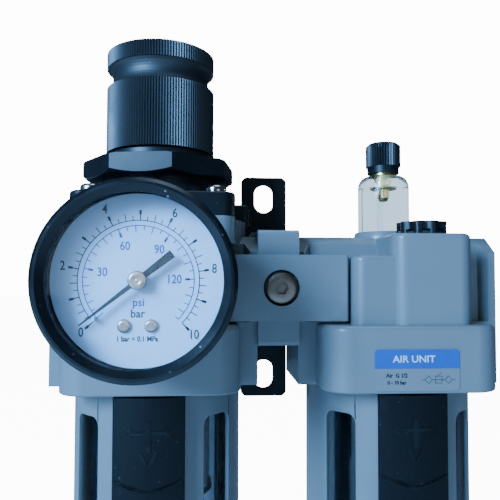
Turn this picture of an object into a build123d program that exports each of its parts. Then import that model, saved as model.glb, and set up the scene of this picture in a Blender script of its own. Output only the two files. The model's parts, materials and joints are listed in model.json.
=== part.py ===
"""Combination filter regulator and lubricator for a compressed-air line.

The model is built round the port axis: X runs from the inlet to the outlet, +Z is up and -Y is the
front with the gauge. Everything is moved at the end so that the origin is the middle of the wall
bracket's two slots, on the wall plane. All lengths are millimetres and all angles are degrees.
"""

from build123d import *
import math
import os

# Modules and the joint between them
module_width = 70.0
spacer_width = 14.0
wall_distance = 45.0  # wall plane behind the port axis

# Port block that both castings share
port_top = 18.0
port_bottom = -33.2
port_half_depth = 16.5
pocket_half_depth = 12.5
roof_half_depth = 9.0
roof_slope = 0.75  # fall of the roof's front and back slopes for each millimetre of depth
flange_lip = 2.6
flange_root = 4.6
port_bore_radius = 9.3
port_bore_depth = 16.0
passage_radius = 6.5

# Skirt that takes the bowl
skirt_half_width = 28.8
skirt_half_depth = 34.8
skirt_top = -11.8
skirt_corner = 9.0
boss_left = -6.0
boss_right = 20.8
boss_front = -32.0
boss_top = 18.0
step_left = -19.0
step_front = -30.0
step_top = 10.8

# Bayonet joint between body and bowl guard
fit_clearance = 0.3  # between parts that move past one another
shaft_clearance = 0.05
collar_radius = 25.4
collar_wall = 1.0
lug_radius = 27.0
lug_height = 2.4
lug_count = 4
lug_angle = 34.0
lug_gap_angle = 40.0
socket_ceiling = -15.6
ledge_height = 3.9
bowl_turn_limit = 45.0

# Bowls and guards
bowl_radius = 24.0
bowl_wall = 2.0
bowl_neck_bore = 20.5
bowl_bottom = -122.0
bowl_corner = 12.0
bowl_flange_radius = 25.2
bowl_flange_height = 2.2
guard_radius = 29.3
guard_wall = 1.6
guard_bottom = -126.5
guard_corner = 8.0
guard_floor_hole = 10.5
window_top = -42.0
window_length = 62.0
window_width = 11.8
window_azimuth = 47.5  # from the front, both ways, and the same from the back
seal_wire_radius = 0.9

# Lock slides
lock_half_width = 11.2
lock_outer_radius = 33.4
lock_back = 29.6
lock_top = -34.0
lock_length = 42.0
lock_tongue_half_width = 6.0
lock_tongue_thickness = 1.8
lock_tongue_height = 2.8
lock_travel = 5.0
lock_key_half_width = 2.7
lock_key_top = -39.0
lock_key_height = 7.0
lock_spring_bottom = -64.0
lock_spring_length = 12.0

# Regulator body and bonnet
seat_half_width = 27.0
seat_half_depth = 28.5
seat_corner = 5.0
seat_radius = 31.5
seat_bottom = 14.5
body_top = 23.4
column_radius = 25.5
bonnet_flange_height = 8.0
bonnet_bore = 14.0
bonnet_tube_radius = 16.0
bonnet_collar_radius = 19.8
bonnet_thread_radius = 21.0
bonnet_neck_top = 44.6
bonnet_collar_top = 47.4
bonnet_tube_top = 63.0
bonnet_screw_x = 20.5
bonnet_screw_y = 22.0
bonnet_screw_radius = 2.0
panel_nut_flats = 51.0
panel_nut_bottom = 37.6
panel_nut_height = 7.0
panel_nut_turn = 13.0

# Knob
knob_radius = 19.6
knob_bottom = 48.4
knob_grip_top = 71.8
knob_waist_radius = 17.4
knob_rim_bottom = 79.2
knob_top = 84.7
knob_ribs = 128
knob_rib_depth = 0.45
knob_wall = 2.4
knob_lift = 3.0

# Adjusting gear and regulating valve
screw_radius = 3.5
screw_pitch = 1.5
journal_radius = 4.0
drive_square = 5.5
carrier_radius = 13.7
carrier_top = 51.0
carrier_height = 4.0
carrier_travel = 9.0
diaphragm_radius = 24.0
diaphragm_thickness = 1.2
spring_mean_radius = 11.4
spring_wire_radius = 1.25
valve_travel = 2.0
valve_seat_bottom = -4.0
valve_seat_radius = 5.0
valve_bore = 8.5
valve_disc_radius = 7.0
valve_stem_radius = 2.0
outlet_height = 3.6
outlet_radius = 5.4
chamber_radius = 9.8
chamber_top = 11.0
control_floor = 15.5
control_radius = 20.0

# Filter parts
element_radius = 18.5
element_bore = 13.0
element_top = -24.0
element_length = 46.0
deflector_radius = 19.9

# Pressure gauge
gauge_height = 2.3
gauge_front = -67.4
gauge_bezel_radius = 26.3
gauge_window_radius = 22.6
gauge_lens_thickness = 1.8
gauge_case_radius = 25.0
gauge_case_back = -40.5
gauge_boss_radius = 10.5
gauge_boss_front = 31.0
gauge_thread_radius = 6.5
gauge_dial_front = -57.2
gauge_zero_angle = 218.0  # direction of the pointer at rest, anticlockwise from +X seen from the front
gauge_sweep = 262.5
pointer_tip = 19.2
pointer_tail = 11.6
pointer_tail_width = 2.3
stop_pin_circle = 15.3
stop_pin_radius = 0.45
pinion_teeth = 15
sector_teeth = 105  # teeth of the full wheel that the sector is cut from
gear_module = 0.2

# Spacer, clamp and wall bracket
spacer_half_height = 19.7
spacer_lip_half_width = 8.7
plate_half_width = 22.0
plate_half_height = 10.8
plate_front = -28.0
plate_thickness = 5.0
clamp_screw_head_radius = 5.75
clamp_screw_radius = 3.0
clamp_screw_seat_gap = 0.15
bracket_half_width = 10.0
bracket_half_height = 48.5
bracket_thickness = 4.0
slot_width = 8.5
slot_length = 12.7
slot_spacing = 78.0

# Lubricator head
dome_radius = 9.45
dome_bottom = 20.4
dome_shoulder = 37.3
dome_top = 41.6
dome_wall = 1.6
bushing_radius = 4.9
bushing_bottom = 36.9
drip_cap_radius = 6.45
drip_cap_bottom = 42.8
drip_cap_top = 54.2
drip_travel = 2.0
fill_x = 8.0
fill_y = -18.4
plug_radius = 8.5
plug_height = 4.4
plug_thread_radius = 6.0
plug_thread_length = 6.0
label_width = 27.3
label_height = 13.0

# Worked out from the values above
module_pitch = module_width + spacer_width
half_module = module_width / 2
ledge_top = port_bottom + ledge_height
lug_bottom = ledge_top + fit_clearance
lug_top = lug_bottom + lug_height
lug_first = 0.0
groove_top = lug_top + fit_clearance
guard_top = port_bottom - 0.5
collar_inner = bowl_radius + 0.3
bowl_rim = lug_top + bowl_flange_height + 7.3
flange_space_top = lug_top + bowl_flange_height + fit_clearance
seal_height = lug_top + bowl_flange_height + 4.2
seal_radius = bowl_radius + fit_clearance - 0.1 - seal_wire_radius
tongue_top = port_bottom + lock_tongue_height
tongue_pocket_top = tongue_top + fit_clearance
drain_radius = 5.0
element_bottom = element_top - element_length
bonnet_screw_places = [(x, y) for x in (-bonnet_screw_x, bonnet_screw_x) for y in (-bonnet_screw_y, bonnet_screw_y)]
carrier_key_radius = carrier_radius + 1.1
screw_bottom = carrier_top - carrier_height - carrier_travel - 1.5
drive_top = 76.0
knob_cavity_top = bonnet_tube_top + 4.0
spring_bottom = body_top + 1.8
valve_spring_bottom = -12.4
gear_distance = (sector_teeth + pinion_teeth) * gear_module / 2
gauge_ratio = sector_teeth / pinion_teeth
lens_back = -gauge_front - 1.6 - gauge_lens_thickness
dial_screw_x = (-3.8, 3.4)
dial_screw_y = -12.1
jaw_outer = 15.0
plate_root = -plate_front - plate_thickness
spacer_half_depth = 19.5
seal_face_radius = 11.2
clamp_screw_length = 15.0
dome_seat = 17.0
needle_radius = 1.2
feed_y = 4.6
siphon_y = 11.0
siphon_radius = 2.2
siphon_bottom = bowl_bottom + 18.0
damper_x = -3.0
damper_z = 6.0
damper_pin_radius = 0.8
damper_pin_half_length = 8.0
plug_seal_radius = 6.9
label_thickness = 0.3
filter_x = -module_pitch / 2
lubricator_x = module_pitch / 2


def cylinder(radius, low, high, x=0.0, y=0.0):
    """Upright cylinder between two heights."""
    return Pos(x, y, (low + high) / 2) * Cylinder(radius, high - low)


def ring(outer, inner, low, high, x=0.0, y=0.0):
    """Upright tube between two heights."""
    return cylinder(outer, low, high, x, y) - cylinder(inner, low - 1, high + 1, x, y)


def block(x0, x1, y0, y1, z0, z1):
    """Box between two corners."""
    return Pos((x0 + x1) / 2, (y0 + y1) / 2, (z0 + z1) / 2) * Box(x1 - x0, y1 - y0, z1 - z0)


def rod_x(radius, x0, x1, y=0.0, z=0.0):
    """Cylinder along X."""
    return Pos((x0 + x1) / 2, y, z) * Rot(0, 90, 0) * Cylinder(radius, x1 - x0)


def rod_y(radius, y0, y1, x=0.0, z=0.0):
    """Cylinder along Y."""
    return Pos(x, (y0 + y1) / 2, z) * Rot(90, 0, 0) * Cylinder(radius, y1 - y0)


def turned(points):
    """Solid of revolution about Z from (radius, height) points."""
    return revolve(Plane.XZ * make_face(Polyline(*points, close=True)), Axis.Z)


def sector(inner, outer, low, high, middle, width):
    """Part of a ring, centred on the angle middle."""
    start = middle - width / 2
    outside = CenterArc((0, 0), outer, start, width)
    inside = CenterArc((0, 0), inner, start, width)
    sides = [Line(outside @ 0, inside @ 0), Line(outside @ 1, inside @ 1)]
    return Pos(0, 0, low) * extrude(make_face([outside, inside, *sides]), high - low)


def prism_x(points, x0, x1):
    """(y, z) outline carried along X."""
    face = Plane.YZ * make_face(Polyline(*points, close=True))
    return Pos(x0, 0, 0) * extrude(face, x1 - x0)


def rounded_block(width, depth, corner, low, high, x=0.0, y=0.0):
    """Block with rounded upright edges."""
    return Pos(x, y, low) * extrude(RectangleRounded(width, depth, corner), high - low)


def o_ring(radius, wire, z, x=0.0, y=0.0):
    """Torus lying flat."""
    return Pos(x, y, z) * Torus(radius, wire)


def coil(radius, wire, low, high, turns):
    """Compression spring with its lowest and highest points at low and high."""
    height = high - low - 2 * wire
    path = Helix(height / turns, height, radius)
    section = Plane(origin=path @ 0, z_dir=path % 0) * Circle(wire)
    return Pos(0, 0, low + wire) * sweep(section, path=path, is_frenet=True)


def ribbed_prism(radius, depth, count, low, high):
    """Round grip with V-shaped upright ribs."""
    step = 360 / count
    points = []
    for i in range(count):
        for turn, r in ((0.0, radius), (0.5, radius - depth)):
            angle = math.radians((i + turn) * step)
            points.append((r * math.cos(angle), r * math.sin(angle)))
    return Pos(0, 0, low) * extrude(make_face(Polyline(*points, close=True)), high - low)


def top_edges(part):
    return part.edges().group_by(Axis.Z)[-1]


def bottom_edges(part):
    return part.edges().group_by(Axis.Z)[0]


# ---------------------------------------------------------------- castings


def port_block():
    """Block with a wedge-shaped clamping flange at each end and a sloped roof."""
    e, lip, root = half_module, flange_lip, flange_root
    plan = [
        (e, -port_half_depth),
        (e, port_half_depth),
        (e - lip, port_half_depth),
        (e - root, pocket_half_depth),
        (root - e, pocket_half_depth),
        (lip - e, port_half_depth),
        (-e, port_half_depth),
        (-e, -port_half_depth),
        (lip - e, -port_half_depth),
        (root - e, -pocket_half_depth),
        (e - root, -pocket_half_depth),
        (e - lip, -port_half_depth),
    ]
    outline = make_face(Polyline(*plan, close=True))
    core = Pos(0, 0, port_bottom) * extrude(outline, port_top - port_bottom)
    edge = port_top - (port_half_depth - roof_half_depth) * roof_slope
    profile = [
        (-port_half_depth, port_bottom),
        (port_half_depth, port_bottom),
        (port_half_depth, edge),
        (roof_half_depth, port_top),
        (-roof_half_depth, port_top),
        (-port_half_depth, edge),
    ]
    core = core & prism_x(profile, -e, e)
    return core + block(-e, e, -port_half_depth, port_half_depth, port_bottom, skirt_top)


def skirt():
    """Rounded square skirt round the bowl's neck."""
    part = rounded_block(2 * skirt_half_width, 2 * skirt_half_depth, skirt_corner, port_bottom, skirt_top)
    part = fillet(top_edges(part), 1.8)
    return fillet(bottom_edges(part), 0.8)


def bowl_socket():
    """Space inside the skirt: bayonet ledge, lug groove, seal bore and the lock tongue's arc."""
    gap = fit_clearance
    space = cylinder(collar_radius + gap, port_bottom - 1, ledge_top + 0.01)
    for i in range(lug_count):
        middle = lug_first + bowl_turn_limit + i * 360 / lug_count
        space += sector(collar_radius - 1, lug_radius + gap, port_bottom - 1, ledge_top + 0.01, middle, lug_gap_angle)
    space += cylinder(lug_radius + gap, ledge_top, groove_top)
    space += cylinder(bowl_flange_radius + gap, groove_top - 0.01, flange_space_top)
    space += cylinder(bowl_radius + gap, flange_space_top - 0.01, socket_ceiling)
    far_corner = math.hypot(lock_tongue_half_width, lock_back + lock_tongue_thickness)
    half_tongue = math.degrees(math.atan2(lock_tongue_half_width, lock_back))
    swing = 2 * (bowl_turn_limit + half_tongue + 1.0)
    space += sector(lock_back - gap, far_corner + gap, port_bottom - 1, tongue_pocket_top, -90, swing)
    return space


def port_bores():
    """Plain bore of the threaded port at each end."""
    right = rod_x(port_bore_radius, half_module - port_bore_depth, half_module + 1)
    return right + mirror(right, Plane.YZ)


def filter_body():
    """Casting of the filter regulator."""
    part = port_block() + skirt()
    seat = rounded_block(2 * seat_half_width, 2 * seat_half_depth, seat_corner, seat_bottom, body_top)
    seat += cylinder(seat_radius, seat_bottom, body_top)
    part += seat
    part += cylinder(column_radius, skirt_top - 1, seat_bottom + 1)
    part += rod_y(gauge_boss_radius, -gauge_boss_front, gauge_boss_front, z=gauge_height)
    part -= bowl_socket()
    part -= port_bores()
    # half ring that takes the incoming air down to the bowl
    part -= sector(12.0, 19.5, socket_ceiling - 1, 4.0, 180, 150)
    part -= rod_x(passage_radius, -half_module + port_bore_depth - 1, -15.0)
    # valve bore, seat, outlet chamber and its passage
    part -= cylinder(valve_bore, socket_ceiling - 1, valve_seat_bottom)
    part -= cylinder(valve_seat_radius, valve_seat_bottom - 1, valve_seat_bottom + 3)
    part -= cylinder(chamber_radius, valve_seat_bottom + 2, chamber_top)
    part -= rod_x(outlet_radius, 5.0, half_module - port_bore_depth + 1, z=outlet_height)
    # guide hole of the valve stem and the control chamber under the diaphragm
    part -= cylinder(valve_stem_radius + fit_clearance, 0, control_floor + 1)
    part -= cylinder(control_radius, control_floor, body_top + 1)
    part -= cylinder(diaphragm_radius + 0.2, body_top - diaphragm_thickness, body_top + 1)
    for x, y in bonnet_screw_places:
        part -= cylinder(bonnet_screw_radius + shaft_clearance, body_top - 9, body_top + 1, x, y)
    thread = gauge_thread_radius + shaft_clearance
    front = gauge_boss_front
    part -= rod_y(thread, -front - 1, -front + 11, z=gauge_height)
    part -= rod_y(2.2, -front + 10, 0, z=gauge_height)
    part -= rod_y(thread, front - 9, front + 1, z=gauge_height)
    return part


def lubricator_body():
    """Casting of the lubricator."""
    part = port_block() + skirt()
    middle = (boss_right + boss_left) / 2
    boss = rounded_block(boss_right - boss_left, -boss_front, 5.0, skirt_top - 2, boss_top, middle, boss_front / 2)
    part += fillet(top_edges(boss), 1.6)
    step_width = 6.0 - step_left
    step = rounded_block(step_width, 22.0, 4.5, skirt_top - 2, step_top, 6.0 - step_width / 2, step_front + 11.0)
    part += fillet(top_edges(step), 1.6)
    rear = rounded_block(36.0, 30.0, 5.0, skirt_top - 2, 12.0, 0, 15.0)
    part += fillet(top_edges(rear), 1.6)
    pad = [(0, 10.0), (11.2, 10.0), (11.2, port_top + 0.4), (dome_radius + 1.1, dome_bottom), (0, dome_bottom)]
    part += turned(pad)
    part -= bowl_socket()
    part -= port_bores()
    part -= rod_x(passage_radius, -half_module + 1, half_module - 1)
    # chamber of the damper with the hole for its pin
    part -= cylinder(7.2, -7.0, 7.0)
    part -= rod_y(damper_pin_radius + shaft_clearance, -damper_pin_half_length, damper_pin_half_length, damper_x, damper_z)
    # seat of the sight dome, oil feed from the bowl and drip hole to the air passage
    part -= cylinder(dome_radius + shaft_clearance, dome_seat, dome_bottom + 1)
    part -= cylinder(siphon_radius + shaft_clearance, socket_ceiling - 1, socket_ceiling + 9, 0, siphon_y)
    part -= cylinder(1.4, socket_ceiling + 8, 13.0, 0, siphon_y)
    part -= rod_y(1.1, feed_y, siphon_y, z=12.0)
    part -= cylinder(1.4, 11.0, dome_bottom + 1, 0, feed_y)
    part -= cylinder(2.0, 5.0, dome_bottom)
    # fill hole
    part -= cylinder(plug_thread_radius + shaft_clearance, boss_top - plug_thread_length - 1, boss_top + 1, fill_x, fill_y)
    part -= cylinder(2.5, socket_ceiling - 1, boss_top - plug_thread_length, 6.5, -15.0)
    return part


# ---------------------------------------------------------------- bonnet, knob and adjusting gear


def bonnet():
    """Bonnet with its square flange, threaded neck, collar and inner tube."""
    top = body_top + bonnet_flange_height
    part = rounded_block(2 * seat_half_width, 2 * seat_half_depth, seat_corner, body_top, top)
    part += rounded_block(2 * 34.2, 18.0, 3.0, body_top, top, 0, 14.0)
    part = fillet(top_edges(part), 1.0)
    part += cylinder(24.0, top - 1, top + 3.0)
    part += cylinder(bonnet_thread_radius, top, bonnet_neck_top)
    part += cylinder(bonnet_collar_radius, bonnet_neck_top, bonnet_collar_top)
    part += cylinder(bonnet_tube_radius, bonnet_collar_top, bonnet_tube_top)
    part -= cylinder(diaphragm_radius - 2.0, body_top - 1, top - 1.4)
    part -= cylinder(bonnet_bore, top - 2, bonnet_tube_top - 3)
    part -= cylinder(journal_radius + shaft_clearance, bonnet_tube_top - 4, bonnet_tube_top + 1)
    for angle in (0, 180):
        part -= Rot(0, 0, angle) * block(0, carrier_key_radius + fit_clearance, -1.8, 1.8, top - 1.4, bonnet_tube_top - 6)
    for x, y in bonnet_screw_places:
        part -= cylinder(bonnet_screw_radius + shaft_clearance, body_top - 1, top + 1, x, y)
    return part


def bonnet_screws():
    """Pan-head screws with a cross slot, one in each corner of the bonnet."""
    top = body_top + bonnet_flange_height
    screws = []
    for x, y in bonnet_screw_places:
        part = cylinder(bonnet_screw_radius, body_top - 8.4, top + 0.5, x, y)
        head = cylinder(3.6, top, top + 2.6, x, y)
        head = fillet(top_edges(head), 1.3)
        slot = block(x - 2.2, x + 2.2, y - 0.4, y + 0.4, top + 1.2, top + 3)
        slot += block(x - 0.4, x + 0.4, y - 2.2, y + 2.2, top + 1.2, top + 3)
        screws.append(part + head - slot)
    return screws


def panel_nut():
    """Eight-sided nut with its corners turned off at the lower edge."""
    top = panel_nut_bottom + panel_nut_height
    outline = RegularPolygon(panel_nut_flats / 2, 8, major_radius=False)
    part = Pos(0, 0, panel_nut_bottom) * extrude(outline, panel_nut_height)
    corner = panel_nut_flats / 2 / math.cos(math.pi / 8)
    envelope = turned(
        [
            (0, panel_nut_bottom),
            (panel_nut_flats / 2 - 0.6, panel_nut_bottom),
            (corner + 0.4, panel_nut_bottom + 2.0),
            (corner + 0.4, top - 0.7),
            (corner - 0.7, top),
            (0, top),
        ]
    )
    part = part & envelope
    part = Rot(0, 0, panel_nut_turn) * part
    return part - cylinder(bonnet_thread_radius + shaft_clearance, panel_nut_bottom - 1, top + 1)


def adjusting_screw():
    """Screw that stays at one height, with a square for the knob at the top."""
    under_roof = bonnet_tube_top - 3 - 0.1
    part = cylinder(screw_radius, screw_bottom, under_roof - 2)
    part += cylinder(6.0, under_roof - 2.8, under_roof)
    part += cylinder(journal_radius, under_roof - 0.5, bonnet_tube_top + 0.2)
    half = drive_square / 2
    part += block(-half, half, -half, half, bonnet_tube_top, drive_top)
    return part


def carrier():
    """Spring carrier that travels on the screw, kept from turning by two keys."""
    part = cylinder(carrier_radius, carrier_top - carrier_height, carrier_top)
    for angle in (0, 180):
        part += Rot(0, 0, angle) * block(0, carrier_key_radius, -1.5, 1.5, carrier_top - carrier_height, carrier_top)
    part += cylinder(6.4, carrier_top - carrier_height - 4, carrier_top)
    return part - cylinder(screw_radius + 0.1, carrier_top - 20, carrier_top + 1)


def knob():
    """Adjusting knob with a ribbed grip, a concave waist and a ribbed rim."""
    grip = ribbed_prism(knob_radius, knob_rib_depth, knob_ribs, knob_bottom, knob_grip_top)
    rim = ribbed_prism(knob_radius, knob_rib_depth, knob_ribs, knob_rim_bottom, knob_top)
    waist = [(0, knob_grip_top - 1), (knob_radius - 0.8, knob_grip_top - 1), (knob_radius - 0.8, knob_grip_top)]
    steps = 8
    for i in range(1, steps):
        t = i / steps
        bulge = math.sin(math.pi * t) ** 0.7
        waist.append((knob_radius - 0.8 - (knob_radius - 0.8 - knob_waist_radius) * bulge,
                      knob_grip_top + (knob_rim_bottom - knob_grip_top) * t))
    waist += [(knob_radius - 0.8, knob_rim_bottom), (knob_radius - 0.8, knob_rim_bottom + 1), (0, knob_rim_bottom + 1)]
    part = grip + turned(waist) + rim
    part -= cylinder(knob_radius - knob_wall, knob_bottom - 1, knob_cavity_top)
    part += cylinder(7.0, bonnet_tube_top + 0.6, knob_cavity_top + 1)
    half = drive_square / 2 + 0.1
    part -= block(-half, half, -half, half, bonnet_tube_top - 1, drive_top + 0.6)
    return part


def diaphragm():
    """Rubber membrane with a shallow roll between its clamped rim and the plate."""
    low = body_top - diaphragm_thickness
    return ring(diaphragm_radius, 2.95, low, body_top)


def diaphragm_plate():
    """Plate on the membrane with the hub that holds it and pushes the valve."""
    part = cylinder(17.0, body_top, body_top + 1.8)
    part += cylinder(8.0, body_top, body_top + 4.0)
    part += cylinder(2.9, body_top - diaphragm_thickness - 0.5, body_top + 1)
    part += cylinder(8.5, body_top - diaphragm_thickness - 1.8, body_top - diaphragm_thickness)
    return part


def valve():
    """Valve disc with its stem above and its guide pin below."""
    top = body_top - diaphragm_thickness - 1.8
    part = cylinder(valve_stem_radius, -15.0, top)
    disc = cylinder(valve_disc_radius, valve_seat_bottom - 2.6, valve_seat_bottom - 0.1)
    return part + chamfer(bottom_edges(disc), 0.5)


def valve_guide():
    """Plug under the valve, carrying the stud for the filter element."""
    part = cylinder(valve_bore - shaft_clearance, socket_ceiling, valve_spring_bottom)
    part += cylinder(10.8, socket_ceiling - 2.0, socket_ceiling)
    part += cylinder(3.5, element_bottom - 8.6, socket_ceiling - 1)
    part -= cylinder(valve_stem_radius + fit_clearance, -18.0, valve_spring_bottom + 1)
    for i in range(6):
        angle = math.radians(60 * i)
        part -= cylinder(1.6, socket_ceiling - 3, valve_spring_bottom + 1, 6.2 * math.cos(angle), 6.2 * math.sin(angle))
    return part


def deflector():
    """Ring of slanted vanes that spins the incoming air."""
    low, high = element_top + 0.1, socket_ceiling - 0.4
    part = ring(deflector_radius, 11.0, low, high)
    for i in range(16):
        vane_gap = Pos(17.4, 0, (low + high) / 2) * Rot(35, 0, 0) * Box(6.4, 2.2, 14)
        part -= Rot(0, 0, i * 22.5) * vane_gap
    return part + ring(14.0, 11.0, low, high)


def filter_element():
    return ring(element_radius, element_bore, element_bottom, element_top)


def baffle():
    """Disc that holds the element and keeps the water below it still."""
    z = element_bottom
    part = turned([(0, z), (19.4, z), (19.4, z - 1.6), (14.0, z - 4.0), (6.4, z - 4.4), (6.4, z - 10.0), (0, z - 10.0)])
    for i in range(4):
        part += Rot(0, 0, 45 + 90 * i) * block(5.0, 15.0, -0.8, 0.8, z - 14.0, z - 3.0)
    return part - cylinder(3.5 + shaft_clearance, z - 9.0, z + 1)


# ---------------------------------------------------------------- bowls, guards and locks


def bowl():
    """Clear bowl with a flange, a seal groove and a hole for the drain."""
    outer = [
        (0, bowl_bottom),
        (bowl_radius - bowl_corner, bowl_bottom),
        (bowl_radius, bowl_bottom + bowl_corner),
        (bowl_radius, lug_top),
        (bowl_flange_radius, lug_top),
        (bowl_flange_radius, lug_top + bowl_flange_height),
        (bowl_radius, lug_top + bowl_flange_height),
        (bowl_radius, bowl_rim),
        (0, bowl_rim),
    ]
    edges = [Line(outer[i], outer[(i + 1) % len(outer)]) for i in range(len(outer)) if i != 1]
    edges.append(RadiusArc(outer[1], outer[2], -bowl_corner))
    part = revolve(Plane.XZ * make_face(edges), Axis.Z)
    r, z = bowl_radius - bowl_wall, bowl_bottom + bowl_wall
    c = bowl_corner - bowl_wall
    inner = [(0, z), (r - c, z), (r, z + c), (r, lug_top - 3), (bowl_neck_bore, lug_top), (bowl_neck_bore, bowl_rim + 1), (0, bowl_rim + 1)]
    edges = [Line(inner[i], inner[(i + 1) % len(inner)]) for i in range(len(inner)) if i != 1]
    edges.append(RadiusArc(inner[1], inner[2], -c))
    part -= revolve(Plane.XZ * make_face(edges), Axis.Z)
    part -= cylinder(drain_radius + shaft_clearance, bowl_bottom - 1, bowl_bottom + 4)
    return part - ring(bowl_radius + 1, seal_radius - seal_wire_radius - 0.05, seal_height - 1.2, seal_height + 1.2)


def bowl_seal():
    return o_ring(seal_radius, seal_wire_radius, seal_height)


def bowl_guard():
    """Metal guard with bayonet lugs, four windows and the guides of the lock slide."""
    r, w, c = guard_radius, guard_wall, guard_corner
    outer = [(guard_floor_hole, guard_bottom), (r - c, guard_bottom), (r, guard_bottom + c), (r, guard_top - 0.8)]
    outer += [(r - 0.8, guard_top), (collar_radius, guard_top), (collar_radius, lug_top), (collar_inner, lug_top)]
    outer += [(collar_inner, guard_top - 3.0), (r - w, guard_top - 5.0), (r - w, guard_bottom + c), (r - c, guard_bottom + w)]
    outer += [(guard_floor_hole, guard_bottom + w)]
    edges = [Line(outer[i], outer[(i + 1) % len(outer)]) for i in range(len(outer)) if i not in (1, 10)]
    edges.append(RadiusArc(outer[1], outer[2], -c))
    edges.append(RadiusArc(outer[10], outer[11], c - w))
    part = revolve(Plane.XZ * make_face(edges), Axis.Z)
    for i in range(lug_count):
        part += sector(collar_radius - 0.5, lug_radius, lug_bottom, lug_top, lug_first + i * 360 / lug_count, lug_angle)
    for front in (-90, 90):
        for side in (-1, 1):
            hole = block(guard_radius - 8, guard_radius + 3, -window_width / 2, window_width / 2, window_top - window_length, window_top)
            hole = fillet(hole.edges().filter_by(Axis.X), 3.0)
            part -= Rot(0, 0, front + side * window_azimuth) * hole
    slot_bottom = lock_key_top - lock_key_height - lock_travel - fit_clearance
    part -= block(-lock_key_half_width - 0.2, lock_key_half_width + 0.2, -r - 1, -r + 5, slot_bottom, lock_key_top + fit_clearance)
    low = lock_spring_bottom
    part += block(-1.4, 1.4, -lock_back - 2.6, -r + 1.4, low - 2.4, low)
    return part


def lock_slide():
    """Lock slide: curved plate, tongue that enters the skirt, and a key behind the guard's wall."""
    low = lock_top - lock_length
    part = cylinder(lock_outer_radius, low, lock_top)
    part = part & block(-lock_half_width, lock_half_width, -lock_outer_radius - 1, -lock_back, low, lock_top)
    part = fillet(part.edges().filter_by(Axis.Z).group_by(Axis.Y)[0], 0.5)
    depth = lock_back + lock_tongue_thickness
    part += block(-lock_tongue_half_width, lock_tongue_half_width, -depth, -lock_back, lock_top - 1, tongue_top)
    key = lock_key_half_width
    part += block(-key, key, -lock_back - 0.5, -guard_radius + guard_wall + 1.0, lock_key_top - lock_key_height, lock_key_top)
    back = -guard_radius + guard_wall + 0.7
    part += block(-4.6, 4.6, back, back + 1.2, lock_key_top - lock_key_height, lock_key_top)
    pocket_top = lock_spring_bottom + lock_spring_length
    low = lock_spring_bottom - 2.4 - fit_clearance
    return part - block(-1.7, 1.7, -lock_back - 2.9, -lock_back + 1, low, pocket_top)


def lock_spring():
    low = lock_spring_bottom
    return Pos(0, -lock_back - 1.35, 0) * coil(1.0, 0.25, low, low + lock_spring_length, 7)


def drain_body():
    """Nipple fixed in the bowl's floor, with a seat for the drain cock."""
    z = bowl_bottom
    part = cylinder(drain_radius, z - 5.0, z + bowl_wall + 0.5)
    part += cylinder(8.0, z + bowl_wall, z + bowl_wall + 2.2)
    nut = Pos(0, 0, z - 3.0) * extrude(RegularPolygon(7.5, 6), 3.0)
    part += nut
    part += cylinder(3.2, z - 14.0, z - 4.0)
    return part - cylinder(1.4, z - 15, z + 6)


def drain_cock():
    """Ribbed drain cock that turns on the nipple, with a hose barb below."""
    z = bowl_bottom
    part = ribbed_prism(8.2, 0.7, 24, z - 16.5, z - 6.5)
    part += turned([(0, z - 25), (2.6, z - 25), (3.4, z - 22), (2.8, z - 22), (2.8, z - 16), (0, z - 16)])
    part -= cylinder(3.2 + fit_clearance, z - 14.4, z - 6)
    return part - cylinder(1.4, z - 26, z - 6)


def lubricator_drain():
    """Drain plug in the lubricator bowl's floor."""
    z = bowl_bottom
    part = cylinder(drain_radius, z - 2.0, z + bowl_wall + 0.5)
    part += cylinder(8.0, z + bowl_wall, z + bowl_wall + 2.2)
    part += ribbed_prism(8.6, 0.8, 18, z - 9.0, z)
    return part - Pos(0, 0, z - 9.5) * extrude(RegularPolygon(3.0, 6), 4.0)


# ---------------------------------------------------------------- pressure gauge, built facing +Z


def toothed(teeth, first, count, offset):
    """Points of a run of teeth on a wheel, starting at tooth number first."""
    pitch_radius = teeth * gear_module / 2
    step = 360 / teeth
    tip, root = pitch_radius + 0.85 * gear_module, pitch_radius - 1.15 * gear_module
    points = []
    for i in range(first, first + count):
        middle = offset + i * step
        for turn, r in ((-0.24, root), (-0.10, tip), (0.10, tip), (0.24, root)):
            angle = math.radians(middle + turn * step)
            points.append((r * math.cos(angle), r * math.sin(angle)))
    return points


def gauge_socket():
    part = cylinder(gauge_thread_radius, gauge_boss_front - 10.6, gauge_boss_front + 0.5)
    part += Pos(0, 0, gauge_boss_front) * extrude(RegularPolygon(8.5, 6, major_radius=False), -gauge_case_back - gauge_boss_front)
    part += cylinder(6.5, -gauge_case_back - 1, 42.5)
    part += block(-5, 5, -6, 6, 42.1, 46)
    part += block(-2.5, 2.5, -19.0, -5, 43.2, 46)
    return part - cylinder(1.6, gauge_boss_front - 11, 44)


def gauge_case():
    back = -gauge_case_back
    part = ring(gauge_case_radius, gauge_case_radius - 1.2, back, lens_back)
    part += cylinder(gauge_case_radius, back, back + 1.6)
    return part - cylinder(6.5 + shaft_clearance, back - 1, back + 2)


def gauge_bezel():
    front, r = -gauge_front, gauge_bezel_radius
    low = 55.0
    window = gauge_window_radius
    profile = [
        (gauge_case_radius + shaft_clearance, low),
        (r - 0.6, low),
        (r, low + 0.6),
        (r, front - 1.0),
        (r - 1.0, front),
        (r - 1.7, front),
        (window + 0.2, front - 1.3),
        (window, front - 1.6),
        (24.3, front - 1.6),
        (24.3, lens_back),
        (gauge_case_radius + shaft_clearance, lens_back),
    ]
    return turned(profile)


def gauge_lens():
    return cylinder(24.2, lens_back, -gauge_front - 1.6)


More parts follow.
